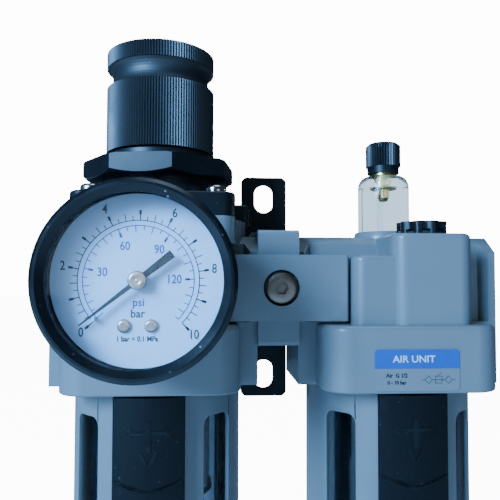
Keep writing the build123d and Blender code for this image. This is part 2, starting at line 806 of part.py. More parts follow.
def gauge_dial():
    """Dial plate with the pin that the pointer rests on."""
    part = cylinder(23.4, -gauge_dial_front - 0.8, -gauge_dial_front)
    for x in dial_screw_x:
        part -= cylinder(1.05, 50, 60, x, dial_screw_y)
    part -= cylinder(2.0, 50, 60)
    angle = math.radians(gauge_zero_angle + 3.6)
    face, r = -gauge_dial_front, stop_pin_circle
    return part + cylinder(stop_pin_radius, face - 0.8, face + 3.2, r * math.cos(angle), r * math.sin(angle))


def dial_screws():
    face = -gauge_dial_front
    screws = []
    for x in dial_screw_x:
        head = cylinder(1.85, face, face + 1.1, x, dial_screw_y)
        head = fillet(top_edges(head), 0.8)
        head -= block(x - 2, x + 2, dial_screw_y - 0.25, dial_screw_y + 0.25, face + 0.7, face + 2)
        screws.append(head + cylinder(1.0, face - 2.4, face + 0.5, x, dial_screw_y))
    return screws


def gauge_frame():
    """Two plates that hold the movement, with the pad behind and the lugs for the dial screws."""
    part = block(-4, 4, -5, 5, 46, 48.4)
    for low, high in ((48.3, 49.3), (53.0, 54.0)):
        part += block(-10.5, 10.5, -15, 6, low, high)
    for x in (-9.2, 9.2):
        part += cylinder(1.2, 49, 53.5, x, 3.5)
    for x in dial_screw_x:
        part += cylinder(1.8, 53.5, -gauge_dial_front - 0.8, x, dial_screw_y)
        part -= cylinder(1.05, -gauge_dial_front - 3, 60, x, dial_screw_y)
    part -= cylinder(0.65, 48.5, 60)
    return part - cylinder(0.75, 48.5, 60, 0, -gear_distance)


def gauge_sector():
    """Toothed sector on its arbor, in mesh with the pinion."""
    span = gauge_sweep / gauge_ratio
    step = 360 / sector_teeth
    extra = 3
    count = int(span / step) + 2 * extra
    teeth = toothed(sector_teeth, extra - count + 1, count, 90)
    first = math.radians(90 + (extra - count + 1 - 0.5) * step)
    last = math.radians(90 + (extra + 0.5) * step)
    inner = 6.5
    points = [(inner * math.cos(first), inner * math.sin(first))] + teeth
    points += [(inner * math.cos(last), inner * math.sin(last)), (-1.6, 0.0), (-1.2, -2.6), (1.2, -2.6), (1.6, 0.0)]
    plate = Pos(0, 0, 50.6) * extrude(make_face(Polyline(*points, close=True)), 1.0)
    part = plate + cylinder(0.7, 48.6, 53.8)
    return Pos(0, -gear_distance, 0) * part


def gauge_pinion():
    """Pinion on the long arbor that carries the pointer."""
    step = 360 / pinion_teeth
    outline = make_face(Polyline(*toothed(pinion_teeth, 0, pinion_teeth, -90 + step / 2), close=True))
    part = Pos(0, 0, 50.2) * extrude(outline, 1.8)
    return part + cylinder(0.6, 48.6, 60.4)


def gauge_pointer():
    """Tapered pointer with a broad tail and a round hub."""
    tail, tip, wide = pointer_tail, pointer_tip, pointer_tail_width / 2
    lower = [(-tail, -wide), (-2.0, -0.8), (2.0, -0.65), (tip, -0.17)]
    outline = Polyline(*lower, *[(x, -y) for x, y in reversed(lower)], close=True)
    part = Pos(0, 0, 59.7) * extrude(make_face(outline), 0.5)
    part += cylinder(2.4, 59.2, 60.8)
    part -= cylinder(0.6, 58, 60.5)
    return Rot(0, 0, gauge_zero_angle) * part


def bourdon_tube():
    """Curved flat tube from the socket's arm nearly round to its free end."""
    return sector(17.6, 19.6, 43.6, 48.0, 35, 230) + sector(15.0, 19.6, 46.0, 48.0, -86, 16)


def on_front(part):
    """Turn a gauge part built facing +Z to face the front, at the gauge's height."""
    return Pos(0, 0, gauge_height) * Rot(90, 0, 0) * part


# ---------------------------------------------------------------- spacer, clamp and bracket


def jaw(side):
    """Half of a clamp: wedge that hooks behind one clamping flange, for the front."""
    near = spacer_width / 2 + flange_lip + 0.1
    far = spacer_width / 2 + flange_root + 0.1
    points = [
        (near, -plate_root),
        (near, -port_half_depth),
        (far, -pocket_half_depth - 0.3),
        (jaw_outer, -pocket_half_depth - 0.3),
        (jaw_outer, -plate_root),
    ]
    points = [(side * x, y) for x, y in points]
    return Pos(0, 0, -plate_half_height) * extrude(make_face(Polyline(*points, close=True)), 2 * plate_half_height)


def clamp_plate():
    part = block(-plate_half_width, plate_half_width, plate_front, -plate_root + 0.01, -plate_half_height, plate_half_height)
    part = fillet(part.edges().filter_by(Axis.Z), 0.8)
    part = part + jaw(1) + jaw(-1)
    part -= rod_y(clamp_screw_radius + 0.3, plate_front - 1, -10)
    return part - rod_y(clamp_screw_head_radius + clamp_screw_seat_gap, plate_front - 1, plate_front + 2.4)


def button_screw():
    """Button-head screw with a hexagon socket, head at the origin and shank along +Y."""
    r = clamp_screw_head_radius
    head = turned([(0, -2.5), (r - 2.4, -2.5), (r - 1.1, -2.2), (r - 0.3, -1.4), (r, -0.5), (r, 0), (0, 0)])
    part = head + cylinder(clamp_screw_radius, -0.5, clamp_screw_length)
    part -= Pos(0, 0, -2.6) * extrude(RegularPolygon(2.0, 6, major_radius=False), 2.0)
    return Rot(-90, 0, 0) * part


def spacer():
    half = spacer_width / 2
    part = block(-half, half, -spacer_half_depth, spacer_half_depth, -spacer_half_height, spacer_half_height)
    part = fillet(part.edges().filter_by(Axis.X), 1.5)
    part += block(-spacer_lip_half_width, spacer_lip_half_width, -roof_half_depth, roof_half_depth, port_top + 0.2, spacer_half_height)
    part -= rod_x(passage_radius, -half - 1, half + 1)
    for side in (-1, 1):
        low, high = sorted((side * (half + 1), side * (half - 1.7)))
        part -= rod_x(seal_face_radius + 1.05, low, high) - rod_x(seal_face_radius - 1.05, low - 1, high + 1)
        low, high = sorted((side * (spacer_half_depth + 1), side * (passage_radius + 3.0)))
        part -= rod_y(clamp_screw_radius + shaft_clearance, low, high)
    return part


def spacer_seals():
    half = spacer_width / 2
    return [Pos(side * (half - 0.85), 0, 0) * Rot(0, 90, 0) * Torus(seal_face_radius, 0.85) for side in (-1, 1)]


def wall_bracket():
    """T-shaped bracket: clamp jaws, web and a wall plate with a slot above and below."""
    jaws = Rot(0, 0, 180) * (jaw(1) + jaw(-1))
    part = jaws + block(-jaw_outer, jaw_outer, plate_root - 0.01, -plate_front, -plate_half_height, plate_half_height)
    w, t = bracket_half_width, bracket_thickness
    part += block(-w, w, -plate_front - 1, wall_distance, -plate_half_height, plate_half_height)
    plate = block(-w, w, wall_distance - t, wall_distance, -bracket_half_height, bracket_half_height)
    part += chamfer(plate.edges().filter_by(Axis.Y), 1.5)
    for side in (-1, 1):
        slot = Pos(0, wall_distance, side * slot_spacing / 2) * Rot(90, 0, 0)
        part -= slot * Pos(0, 0, -t) * extrude(Rot(0, 0, 90) * SlotOverall(slot_length, slot_width), 3 * t)
    part -= rod_y(clamp_screw_head_radius + clamp_screw_seat_gap, -plate_front - 2.4, wall_distance + 1)
    return part - rod_y(clamp_screw_radius + 0.3, 10, -plate_front)


# ---------------------------------------------------------------- lubricator parts


def sight_dome():
    """Clear dome over the dripping oil."""
    r, w = dome_radius, dome_wall
    wide, high = 3.4, dome_top - dome_shoulder
    shoulder = []
    for i in range(1, 9):
        angle = math.radians(90 * i / 8)
        shoulder.append((r - wide + wide * math.cos(angle), dome_shoulder + high * math.sin(angle)))
    points = [
        (r - w, dome_seat + 0.7),
        (r, dome_seat + 0.7),
        (r, dome_shoulder),
        *shoulder,
        (bushing_radius + shaft_clearance, dome_top),
        (bushing_radius + shaft_clearance, dome_top - 1.9),
        (r - 4.0, dome_top - 1.9),
        (r - w, dome_shoulder - 0.4),
    ]
    return turned(points)


def dome_seal():
    return ring(dome_radius - 0.1, dome_radius - dome_wall, dome_seat, dome_seat + 0.7)


def drip_bushing():
    """Brass bushing in the top of the dome, with the nozzle that the drops fall from."""
    part = cylinder(bushing_radius, bushing_bottom, 43.6)
    part += cylinder(5.3, 37.6, 39.5)
    part += cylinder(3.4, 43.0, 50.0)
    part += turned([(0, 32.4), (1.4, 32.4), (2.2, 33.8), (2.2, bushing_bottom + 0.1), (0, bushing_bottom + 0.1)])
    part -= cylinder(needle_radius + fit_clearance, 33.0, 51.0)
    return part - cylinder(0.8, 30.0, 34.0)


def feed_tube():
    """Thin pipe that brings the oil up beside the nozzle."""
    return ring(1.35, 0.8, dome_bottom - 3.0, bushing_bottom, 0, feed_y)


def needle():
    """Metering needle, raised by the drip knob."""
    part = cylinder(needle_radius, 36.0, 47.0)
    part += cylinder(2.2, 50.4, 51.2) + cylinder(needle_radius, 46.0, 50.6)
    return part + turned([(0, 34.2), (0.3, 34.2), (needle_radius, 36.2), (0, 36.2)])


def drip_knob():
    """Ribbed drip-rate knob with a tapered foot."""
    low, high, r = drip_cap_bottom, drip_cap_top, drip_cap_radius
    part = ribbed_prism(r, 0.45, 40, low + 2.6, high - 0.8)
    part += turned([(0, low), (bushing_radius + 0.9, low), (r - 0.5, low + 2.8), (r - 0.5, high - 1), (0, high - 1)])
    part += turned([(0, high - 2), (r - 0.4, high - 2), (r - 0.4, high - 0.7), (r - 1.1, high), (0, high)])
    part -= block(-r, r, -0.6, 0.6, high - 1.0, high + 1)
    part -= cylinder(bushing_radius + fit_clearance, low - 1, 43.9)
    return part - cylinder(3.4 + fit_clearance, low, 53.3)


def siphon_tube():
    return ring(siphon_radius, 1.2, siphon_bottom, socket_ceiling + 8.5, 0, siphon_y)


def siphon_strainer():
    low = siphon_bottom
    part = cylinder(5.0, low - 6.0, low + 2.0, 0, siphon_y)
    for i in range(5):
        part -= ring(6.0, 4.3, low - 5.2 + 1.4 * i, low - 4.5 + 1.4 * i, 0, siphon_y)
    return part - cylinder(siphon_radius, low, low + 3.0, 0, siphon_y)


def tube_holder():
    """Disc under the casting that steadies the siphon tube."""
    part = cylinder(18.5, socket_ceiling - 2.4, socket_ceiling)
    part += cylinder(5.0, socket_ceiling - 8.0, socket_ceiling - 2, 0, siphon_y)
    part -= cylinder(siphon_radius + shaft_clearance, socket_ceiling - 9, socket_ceiling + 1, 0, siphon_y)
    return part - cylinder(3.2, socket_ceiling - 3, socket_ceiling + 1, 6.5, -15.0 + 1.2)


def damper():
    """Flap that the air swings open, hung from a pin across the passage."""
    part = block(-0.6, 0.6, -4.8, 4.8, -11.4, 0)
    part += rod_y(damper_pin_radius, -damper_pin_half_length + 0.2, damper_pin_half_length - 0.2)
    return Pos(damper_x, 0, damper_z) * part


def fill_plug():
    """Lobed fill plug with its thread."""
    lobes = 9
    points = []
    for i in range(lobes * 12):
        angle = math.radians(i * 360 / (lobes * 12))
        r = plug_radius - 0.55 * (1 - math.cos(lobes * angle)) ** 1.0 * 0.9
        points.append((r * math.cos(angle), r * math.sin(angle)))
    head = Pos(0, 0, boss_top + 0.2) * extrude(make_face(Polyline(*points, close=True)), plug_height)
    part = head + cylinder(plug_thread_radius, boss_top - plug_thread_length, boss_top + 1)
    part -= ring(plug_seal_radius + 1.1, plug_thread_radius, boss_top - 1, boss_top + 1.9)
    part -= block(-6.0, 6.0, -1.0, 1.0, boss_top + plug_height - 1.2, boss_top + plug_height + 1)
    return Pos(fill_x, fill_y, 0) * part


def fill_plug_seal():
    return o_ring(plug_seal_radius, 0.7, boss_top + 0.75, fill_x, fill_y)


def name_label():
    face = RectangleRounded(label_width, label_height, 1.2)
    plate = extrude(face, label_thickness)
    z = (skirt_top + port_bottom) / 2 - 3.2
    return Pos(0, -skirt_half_depth, z) * Rot(90, 0, 0) * plate


def rear_plug():
    """Plug with a hexagon socket in the unused gauge port."""
    y = gauge_boss_front
    part = rod_y(gauge_thread_radius, y - 8.6, y - 0.4, z=gauge_height)
    socket = Rot(90, 0, 0) * extrude(RegularPolygon(3.0, 6, major_radius=False), 5.0)
    return part - Pos(0, y, gauge_height) * socket


# ---------------------------------------------------------------- assembly

def filter_module():
    valve_low, valve_high = valve_spring_bottom, valve_seat_bottom - 2.6
    spring_high = carrier_top - carrier_height
    return {
        "filter_body": filter_body(),
        "bonnet": bonnet(),
        "bonnet_screws": bonnet_screws(),
        "panel_nut": panel_nut(),
        "knob": knob(),
        "adjusting_screw": adjusting_screw(),
        "spring_carrier": carrier(),
        "regulating_spring": coil(spring_mean_radius, spring_wire_radius, spring_bottom, spring_high, 5),
        "diaphragm": diaphragm(),
        "diaphragm_plate": diaphragm_plate(),
        "valve": valve(),
        "valve_spring": coil(4.6, 0.45, valve_low, valve_high, 3),
        "valve_guide": valve_guide(),
        "deflector": deflector(),
        "filter_element": filter_element(),
        "baffle": baffle(),
        "filter_bowl": bowl(),
        "filter_bowl_seal": bowl_seal(),
        "filter_bowl_guard": bowl_guard(),
        "filter_lock_slide": lock_slide(),
        "filter_lock_spring": lock_spring(),
        "drain_body": drain_body(),
        "drain_cock": drain_cock(),
        "rear_plug": rear_plug(),
        "gauge_socket": on_front(gauge_socket()),
        "gauge_case": on_front(gauge_case()),
        "gauge_bezel": on_front(gauge_bezel()),
        "gauge_lens": on_front(gauge_lens()),
        "gauge_dial": on_front(gauge_dial()),
        "dial_screws": [on_front(screw) for screw in dial_screws()],
        "gauge_frame": on_front(gauge_frame()),
        "gauge_sector": on_front(gauge_sector()),
        "gauge_pinion": on_front(gauge_pinion()),
        "gauge_pointer": on_front(gauge_pointer()),
        "bourdon_tube": on_front(bourdon_tube()),
    }


def lubricator_module():
    return {
        "lubricator_body": lubricator_body(),
        "sight_dome": sight_dome(),
        "dome_seal": dome_seal(),
        "drip_bushing": drip_bushing(),
        "feed_tube": feed_tube(),
        "drip_needle": needle(),
        "drip_knob": drip_knob(),
        "siphon_tube": siphon_tube(),
        "siphon_strainer": siphon_strainer(),
        "tube_holder": tube_holder(),
        "damper": damper(),
        "fill_plug": fill_plug(),
        "fill_plug_seal": fill_plug_seal(),
        "lubricator_bowl": bowl(),
        "lubricator_bowl_seal": bowl_seal(),
        "lubricator_bowl_guard": bowl_guard(),
        "lubricator_lock_slide": lock_slide(),
        "lubricator_lock_spring": lock_spring(),
        "lubricator_drain": lubricator_drain(),
        "name_label": name_label(),
    }


def joining_parts():
    screw_seat = -plate_front - 2.4
    return {
        "spacer": spacer(),
        "spacer_seals": spacer_seals(),
        "clamp_plate": clamp_plate(),
        "wall_bracket": wall_bracket(),
        "clamp_screws": [Rot(0, 0, turn) * Pos(0, -screw_seat, 0) * button_screw() for turn in (0, 180)],
    }


def save(name, pieces, x):
    """Write one part at its place in the assembly."""
    if not isinstance(pieces, list):
        pieces = [pieces]
    solids = []
    for piece in pieces:
        solids += [Pos(x, -wall_distance, 0) * solid for solid in piece.solids()]
    whole = solids[0] if len(solids) == 1 else Compound(children=solids)
    export_step(whole, f"parts/{name}.step")


def main():
    os.makedirs("parts", exist_ok=True)
    for x, group in ((filter_x, filter_module()), (lubricator_x, lubricator_module()), (0.0, joining_parts())):
        for name, pieces in group.items():
            save(name, pieces, x)


if __name__ == "__main__":
    main()
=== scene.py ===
"""Looks for a compressed-air filter regulator and lubricator, laid out as a Blender add-on."""

import json
import math

import bmesh
import bpy
from mathutils import Matrix, Vector


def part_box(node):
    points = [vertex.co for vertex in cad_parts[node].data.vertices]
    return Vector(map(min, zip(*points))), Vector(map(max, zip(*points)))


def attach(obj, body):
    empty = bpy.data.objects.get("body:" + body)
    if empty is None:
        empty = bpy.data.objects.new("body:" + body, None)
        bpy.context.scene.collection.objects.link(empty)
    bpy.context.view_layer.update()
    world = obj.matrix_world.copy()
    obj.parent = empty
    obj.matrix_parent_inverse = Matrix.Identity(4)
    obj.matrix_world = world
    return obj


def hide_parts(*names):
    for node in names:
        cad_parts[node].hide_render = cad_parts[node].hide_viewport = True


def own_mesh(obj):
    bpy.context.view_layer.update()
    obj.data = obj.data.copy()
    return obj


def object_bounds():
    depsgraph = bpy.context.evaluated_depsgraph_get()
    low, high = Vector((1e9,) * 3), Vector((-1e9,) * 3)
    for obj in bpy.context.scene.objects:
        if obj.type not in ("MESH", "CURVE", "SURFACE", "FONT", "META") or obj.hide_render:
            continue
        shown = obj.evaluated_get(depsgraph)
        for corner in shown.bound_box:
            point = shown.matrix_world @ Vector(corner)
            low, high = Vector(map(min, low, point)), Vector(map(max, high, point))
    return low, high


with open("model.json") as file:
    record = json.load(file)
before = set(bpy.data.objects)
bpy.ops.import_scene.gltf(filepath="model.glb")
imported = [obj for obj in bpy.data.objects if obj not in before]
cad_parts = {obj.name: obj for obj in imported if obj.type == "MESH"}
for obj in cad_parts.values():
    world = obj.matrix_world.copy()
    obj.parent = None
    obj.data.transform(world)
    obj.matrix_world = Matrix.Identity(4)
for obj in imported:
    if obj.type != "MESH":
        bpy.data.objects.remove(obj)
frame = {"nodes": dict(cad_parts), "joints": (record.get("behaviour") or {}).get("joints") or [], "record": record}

bl_info = {
    "name": "Filter Regulator Lubricator Looks",
    "version": (1, 0, 0),
    "blender": (4, 5, 0),
    "location": "View3D > Sidebar > Air Unit",
    "description": "Adds finishes, dial, label and relief to a filter regulator and lubricator",
    "category": "Object",
}

MM = 0.001
CAD_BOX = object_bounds()
NODES = frame["nodes"]

POINTER_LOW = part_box("gauge_pointer")[0]
LABEL_LOW, LABEL_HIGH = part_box("name_label")
PORT_Y = sum(v.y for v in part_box("knob")) / 2
GAUGE_X = sum(v.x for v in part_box("gauge_bezel")) / 2
GAUGE_Z = sum(v.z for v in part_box("gauge_bezel")) / 2
UNIT_X = (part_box("spacer")[0].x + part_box("spacer")[1].x) / 2

DIAL_FACE = 57.2 * MM  # from the ports' axis forward to the dial's printed face
PRINT_FILM = 0.05 * MM  # thickness of printed lines and letters
LINE_WIDTH = 0.24 * MM  # of the scales' arcs and the psi marks
WELD_GAP = 1e-6
RELIEF_HEIGHT = -49 * MM  # height of the middle of the lock slides' raised marks
BAND_SHARE = 0.46  # of the label's height
THREAD_PITCH = 1.814 * MM
THREAD_TURNS = 7
ROUND_STEPS = 48  # faces around a turned piece


# ------------------------------------------------------------------ settings


class DialSettings(bpy.types.PropertyGroup):
    scale_radius: bpy.props.FloatProperty(
        name="Outer scale radius", description="Radius of the black bar arc", default=16.2 * MM,
        unit="LENGTH",
    )
    inner_radius: bpy.props.FloatProperty(
        name="Inner scale radius", description="Radius of the blue psi arc", default=14.8 * MM,
        unit="LENGTH",
    )
    start_angle: bpy.props.FloatProperty(
        name="Zero angle", description="Direction of the zero mark, anticlockwise from the right",
        default=math.radians(222.5), subtype="ANGLE",
    )
    sweep: bpy.props.FloatProperty(
        name="Sweep", description="Angle from zero to full scale", default=math.radians(267),
        subtype="ANGLE",
    )
    letter_weight: bpy.props.FloatProperty(
        name="Letter weight", description="How far each letter's outline is pushed out",
        default=0.05 * MM, unit="LENGTH",
    )
    ink: bpy.props.FloatVectorProperty(
        name="Black ink", description="Colour of the bar scale", default=(0.004, 0.004, 0.006),
        subtype="COLOR",
    )
    blue_ink: bpy.props.FloatVectorProperty(
        name="Blue ink", description="Colour of the psi scale", default=(0.002, 0.012, 0.2),
        subtype="COLOR",
    )


class FinishSettings(bpy.types.PropertyGroup):
    paint: bpy.props.FloatVectorProperty(
        name="Casting paint", description="Colour of the painted castings", default=(0.2, 0.215, 0.225),
        subtype="COLOR",
    )
    plastic: bpy.props.FloatVectorProperty(
        name="Black plastic", description="Colour of the knob, nut and bonnet",
        default=(0.007, 0.008, 0.01), subtype="COLOR",
    )
    edge_radius: bpy.props.FloatProperty(
        name="Edge rounding", description="Width of the rounded edge on the castings",
        default=0.45 * MM, unit="LENGTH",
    )
    band: bpy.props.FloatVectorProperty(
        name="Label band", description="Colour of the label's upper band", default=(0.0, 0.1, 0.42),
        subtype="COLOR",
    )


class StageSettings(bpy.types.PropertyGroup):
    key_power: bpy.props.FloatProperty(
        name="Key power", description="Power of the large light at the upper left, in watts",
        default=26.0,
    )
    key_colour: bpy.props.FloatVectorProperty(
        name="Key colour", description="Colour of the window-like light", default=(0.24, 0.54, 1.0),
        subtype="COLOR",
    )
    floor_colour: bpy.props.FloatVectorProperty(
        name="Floor colour", description="Colour of the pale floor", default=(0.9, 0.9, 0.9),
        subtype="COLOR",
    )


# ------------------------------------------------------------------ node groups


def group_socket(group, name, direction, kind, value=None):
    """Add a named input or output to a node group."""
    socket = group.interface.new_socket(name=name, in_out=direction, socket_type=kind)
    if value is not None:
        socket.default_value = value
    return socket


def mottle_group():
    """Two close colours mixed by soft noise."""
    group = bpy.data.node_groups.new("Colour Mottle", "ShaderNodeTree")
    group_socket(group, "Vector", "INPUT", "NodeSocketVector")
    group_socket(group, "Scale", "INPUT", "NodeSocketFloat", 60.0)
    group_socket(group, "Colour A", "INPUT", "NodeSocketColor", (0.5, 0.5, 0.5, 1))
    group_socket(group, "Colour B", "INPUT", "NodeSocketColor", (0.4, 0.4, 0.4, 1))
    group_socket(group, "Colour", "OUTPUT", "NodeSocketColor")
    nodes, links = group.nodes, group.links
    into, out = nodes.new("NodeGroupInput"), nodes.new("NodeGroupOutput")
    soft = nodes.new("ShaderNodeTexNoise")
    soft.inputs["Detail"].default_value = 4.0
    links.new(into.outputs["Vector"], soft.inputs["Vector"])
    links.new(into.outputs["Scale"], soft.inputs["Scale"])
    ramp = nodes.new("ShaderNodeValToRGB")
    ramp.color_ramp.elements[0].position = 0.35
    ramp.color_ramp.elements[1].position = 0.68
    links.new(soft.outputs["Fac"], ramp.inputs["Fac"])
    mix = nodes.new("ShaderNodeMix")
    mix.data_type = "RGBA"
    links.new(ramp.outputs["Color"], mix.inputs["Factor"])
    links.new(into.outputs["Colour A"], mix.inputs["A"])
    links.new(into.outputs["Colour B"], mix.inputs["B"])
    links.new(mix.outputs["Result"], out.inputs["Colour"])
    return group


def grain_group():
    """Roughness that wanders between two values and a fine height for the surface's skin."""
    group = bpy.data.node_groups.new("Surface Grain", "ShaderNodeTree")
    group_socket(group, "Vector", "INPUT", "NodeSocketVector")
    group_socket(group, "Scale", "INPUT", "NodeSocketFloat", 900.0)
    group_socket(group, "Smoothest", "INPUT", "NodeSocketFloat", 0.3)
    group_socket(group, "Roughest", "INPUT", "NodeSocketFloat", 0.5)
    group_socket(group, "Roughness", "OUTPUT", "NodeSocketFloat")
    group_socket(group, "Height", "OUTPUT", "NodeSocketFloat")
    nodes, links = group.nodes, group.links
    into, out = nodes.new("NodeGroupInput"), nodes.new("NodeGroupOutput")
    fine = nodes.new("ShaderNodeTexNoise")
    fine.inputs["Detail"].default_value = 3.0
    links.new(into.outputs["Vector"], fine.inputs["Vector"])
    links.new(into.outputs["Scale"], fine.inputs["Scale"])
    wide = nodes.new("ShaderNodeTexNoise")
    wide.inputs["Scale"].default_value = 45.0
    wide.inputs["Detail"].default_value = 5.0
    links.new(into.outputs["Vector"], wide.inputs["Vector"])
    spread = nodes.new("ShaderNodeMapRange")
    spread.inputs["From Min"].default_value = 0.3
    spread.inputs["From Max"].default_value = 0.7
    links.new(wide.outputs["Fac"], spread.inputs["Value"])
    links.new(into.outputs["Smoothest"], spread.inputs["To Min"])
    links.new(into.outputs["Roughest"], spread.inputs["To Max"])
    links.new(spread.outputs["Result"], out.inputs["Roughness"])
    links.new(fine.outputs["Fac"], out.inputs["Height"])
    return group


def dust_group():
    """Mask of dust specks, gathered in scattered patches."""
    group = bpy.data.node_groups.new("Dust Specks", "ShaderNodeTree")
    group_socket(group, "Vector", "INPUT", "NodeSocketVector")
    group_socket(group, "Amount", "INPUT", "NodeSocketFloat", 0.3)
    group_socket(group, "Mask", "OUTPUT", "NodeSocketFloat")
    nodes, links = group.nodes, group.links
    into, out = nodes.new("NodeGroupInput"), nodes.new("NodeGroupOutput")
    specks = nodes.new("ShaderNodeTexVoronoi")
    specks.inputs["Scale"].default_value = 420.0
    links.new(into.outputs["Vector"], specks.inputs["Vector"])
    near = nodes.new("ShaderNodeMapRange")
    near.inputs["From Min"].default_value = 0.16
    near.inputs["From Max"].default_value = 0.05
    links.new(specks.outputs["Distance"], near.inputs["Value"])
    patch = nodes.new("ShaderNodeTexNoise")
    patch.inputs["Scale"].default_value = 160.0
    links.new(into.outputs["Vector"], patch.inputs["Vector"])
    some = nodes.new("ShaderNodeMapRange")
    some.inputs["From Min"].default_value = 0.52
    some.inputs["From Max"].default_value = 0.66
    links.new(patch.outputs["Fac"], some.inputs["Value"])
    both = nodes.new("ShaderNodeMath")
    both.operation = "MULTIPLY"
    links.new(near.outputs["Result"], both.inputs[0])
    links.new(some.outputs["Result"], both.inputs[1])
    scaled = nodes.new("ShaderNodeMath")
    scaled.operation = "MULTIPLY"
    scaled.use_clamp = True
    links.new(both.outputs[0], scaled.inputs[0])
    links.new(into.outputs["Amount"], scaled.inputs[1])
    links.new(scaled.outputs[0], out.inputs["Mask"])
    return group


def wear_group():
    """Mask along outer edges, broken up by noise."""
    group = bpy.data.node_groups.new("Edge Wear", "ShaderNodeTree")
    group_socket(group, "Vector", "INPUT", "NodeSocketVector")
    group_socket(group, "Amount", "INPUT", "NodeSocketFloat", 0.5)
    group_socket(group, "Mask", "OUTPUT", "NodeSocketFloat")
    nodes, links = group.nodes, group.links
    into, out = nodes.new("NodeGroupInput"), nodes.new("NodeGroupOutput")
    geometry = nodes.new("ShaderNodeNewGeometry")
    edge = nodes.new("ShaderNodeMapRange")
    edge.inputs["From Min"].default_value = 0.53
    edge.inputs["From Max"].default_value = 0.64
    links.new(geometry.outputs["Pointiness"], edge.inputs["Value"])
    noise = nodes.new("ShaderNodeTexNoise")
    noise.inputs["Scale"].default_value = 260.0
    noise.inputs["Detail"].default_value = 6.0
    links.new(into.outputs["Vector"], noise.inputs["Vector"])
    broken = nodes.new("ShaderNodeMapRange")
    broken.inputs["From Min"].default_value = 0.46
    broken.inputs["From Max"].default_value = 0.62
    links.new(noise.outputs["Fac"], broken.inputs["Value"])
    both = nodes.new("ShaderNodeMath")
    both.operation = "MULTIPLY"
    links.new(edge.outputs["Result"], both.inputs[0])
    links.new(broken.outputs["Result"], both.inputs[1])
    scaled = nodes.new("ShaderNodeMath")
    scaled.operation = "MULTIPLY"
    scaled.use_clamp = True
    links.new(both.outputs[0], scaled.inputs[0])
    links.new(into.outputs["Amount"], scaled.inputs[1])
    links.new(scaled.outputs[0], out.inputs["Mask"])
    return group


GROUPS = {}
FINISHES = {}


def mix_colour(tree, factor, below, above):
    """Mix two colours, each a plain colour or another node's output."""
    mix = tree.nodes.new("ShaderNodeMix")
    mix.data_type = "RGBA"
    tree.links.new(factor, mix.inputs["Factor"])
    for source, name in ((below, "A"), (above, "B")):
        if isinstance(source, tuple):
            mix.inputs[name].default_value = (*source, 1.0)
        else:
            tree.links.new(source, mix.inputs[name])
    return mix.outputs["Result"]


def finish(
    name, colour, shift=0.85, mottle_scale=60.0, grain=900.0, smooth=0.35, rough=0.5, height=0.02,
    metallic=0.0, coat=0.0, wear=0.0, wear_colour=(0.55, 0.56, 0.57), dust=0.0, stretch=(1, 1, 1),
    specular=0.5,
):
    """Principled material with mottled colour, wandering roughness, skin bump, edge wear and dust."""
    material = bpy.data.materials.new(name)
    material.use_nodes = True
    tree = material.node_tree
    shader = tree.nodes["Principled BSDF"]
    shader.inputs["Metallic"].default_value = metallic
    shader.inputs["Coat Weight"].default_value = coat
    shader.inputs["Coat Roughness"].default_value = 0.12
    shader.inputs["Specular IOR Level"].default_value = specular
    place = tree.nodes.new("ShaderNodeTexCoord")
    mapping = tree.nodes.new("ShaderNodeMapping")
    mapping.inputs["Scale"].default_value = stretch
    tree.links.new(place.outputs["Object"], mapping.inputs["Vector"])
    vector = mapping.outputs["Vector"]
    mottle = tree.nodes.new("ShaderNodeGroup")
    mottle.node_tree = GROUPS["mottle"]
    mottle.inputs["Scale"].default_value = mottle_scale
    mottle.inputs["Colour A"].default_value = (*colour, 1)
    mottle.inputs["Colour B"].default_value = (*[c * shift for c in colour], 1)
    tree.links.new(vector, mottle.inputs["Vector"])
    skin = tree.nodes.new("ShaderNodeGroup")
    skin.node_tree = GROUPS["grain"]
    skin.inputs["Scale"].default_value = grain
    skin.inputs["Smoothest"].default_value = smooth
    skin.inputs["Roughest"].default_value = rough
    tree.links.new(vector, skin.inputs["Vector"])
    shown = mottle.outputs["Colour"]
    if wear:
        edge = tree.nodes.new("ShaderNodeGroup")
        edge.node_tree = GROUPS["wear"]
        edge.inputs["Amount"].default_value = wear
        tree.links.new(place.outputs["Object"], edge.inputs["Vector"])
        shown = mix_colour(tree, edge.outputs["Mask"], shown, wear_colour)
    if dust:
        specks = tree.nodes.new("ShaderNodeGroup")
        specks.node_tree = GROUPS["dust"]
        specks.inputs["Amount"].default_value = dust
        tree.links.new(place.outputs["Object"], specks.inputs["Vector"])
        shown = mix_colour(tree, specks.outputs["Mask"], shown, (0.45, 0.5, 0.55))
    tree.links.new(shown, shader.inputs["Base Color"])
    tree.links.new(skin.outputs["Roughness"], shader.inputs["Roughness"])
    bump = tree.nodes.new("ShaderNodeBump")
    bump.inputs["Strength"].default_value = 0.35
    bump.inputs["Distance"].default_value = height * MM
    tree.links.new(skin.outputs["Height"], bump.inputs["Height"])
    tree.links.new(bump.outputs["Normal"], shader.inputs["Normal"])
    return material


def clear_finish(name, tint, smooth=0.02, rough=0.08, ior=1.49):
    """Clear plastic that lets light through to what is behind it."""
    material = finish(name, tint, shift=0.97, smooth=smooth, rough=rough, height=0.004, grain=350.0)
    tree = material.node_tree
    shader = tree.nodes["Principled BSDF"]
    shader.inputs["Transmission Weight"].default_value = 1.0
    shader.inputs["IOR"].default_value = ior
    through = tree.nodes.new("ShaderNodeBsdfTransparent")
    through.inputs["Color"].default_value = (*[0.5 + 0.5 * t for t in tint], 1)
    path = tree.nodes.new("ShaderNodeLightPath")
    mix = tree.nodes.new("ShaderNodeMixShader")
    out = tree.nodes["Material Output"]
    tree.links.new(path.outputs["Is Shadow Ray"], mix.inputs[0])
    tree.links.new(shader.outputs[0], mix.inputs[1])
    tree.links.new(through.outputs[0], mix.inputs[2])
    tree.links.new(mix.outputs[0], out.inputs["Surface"])
    return material


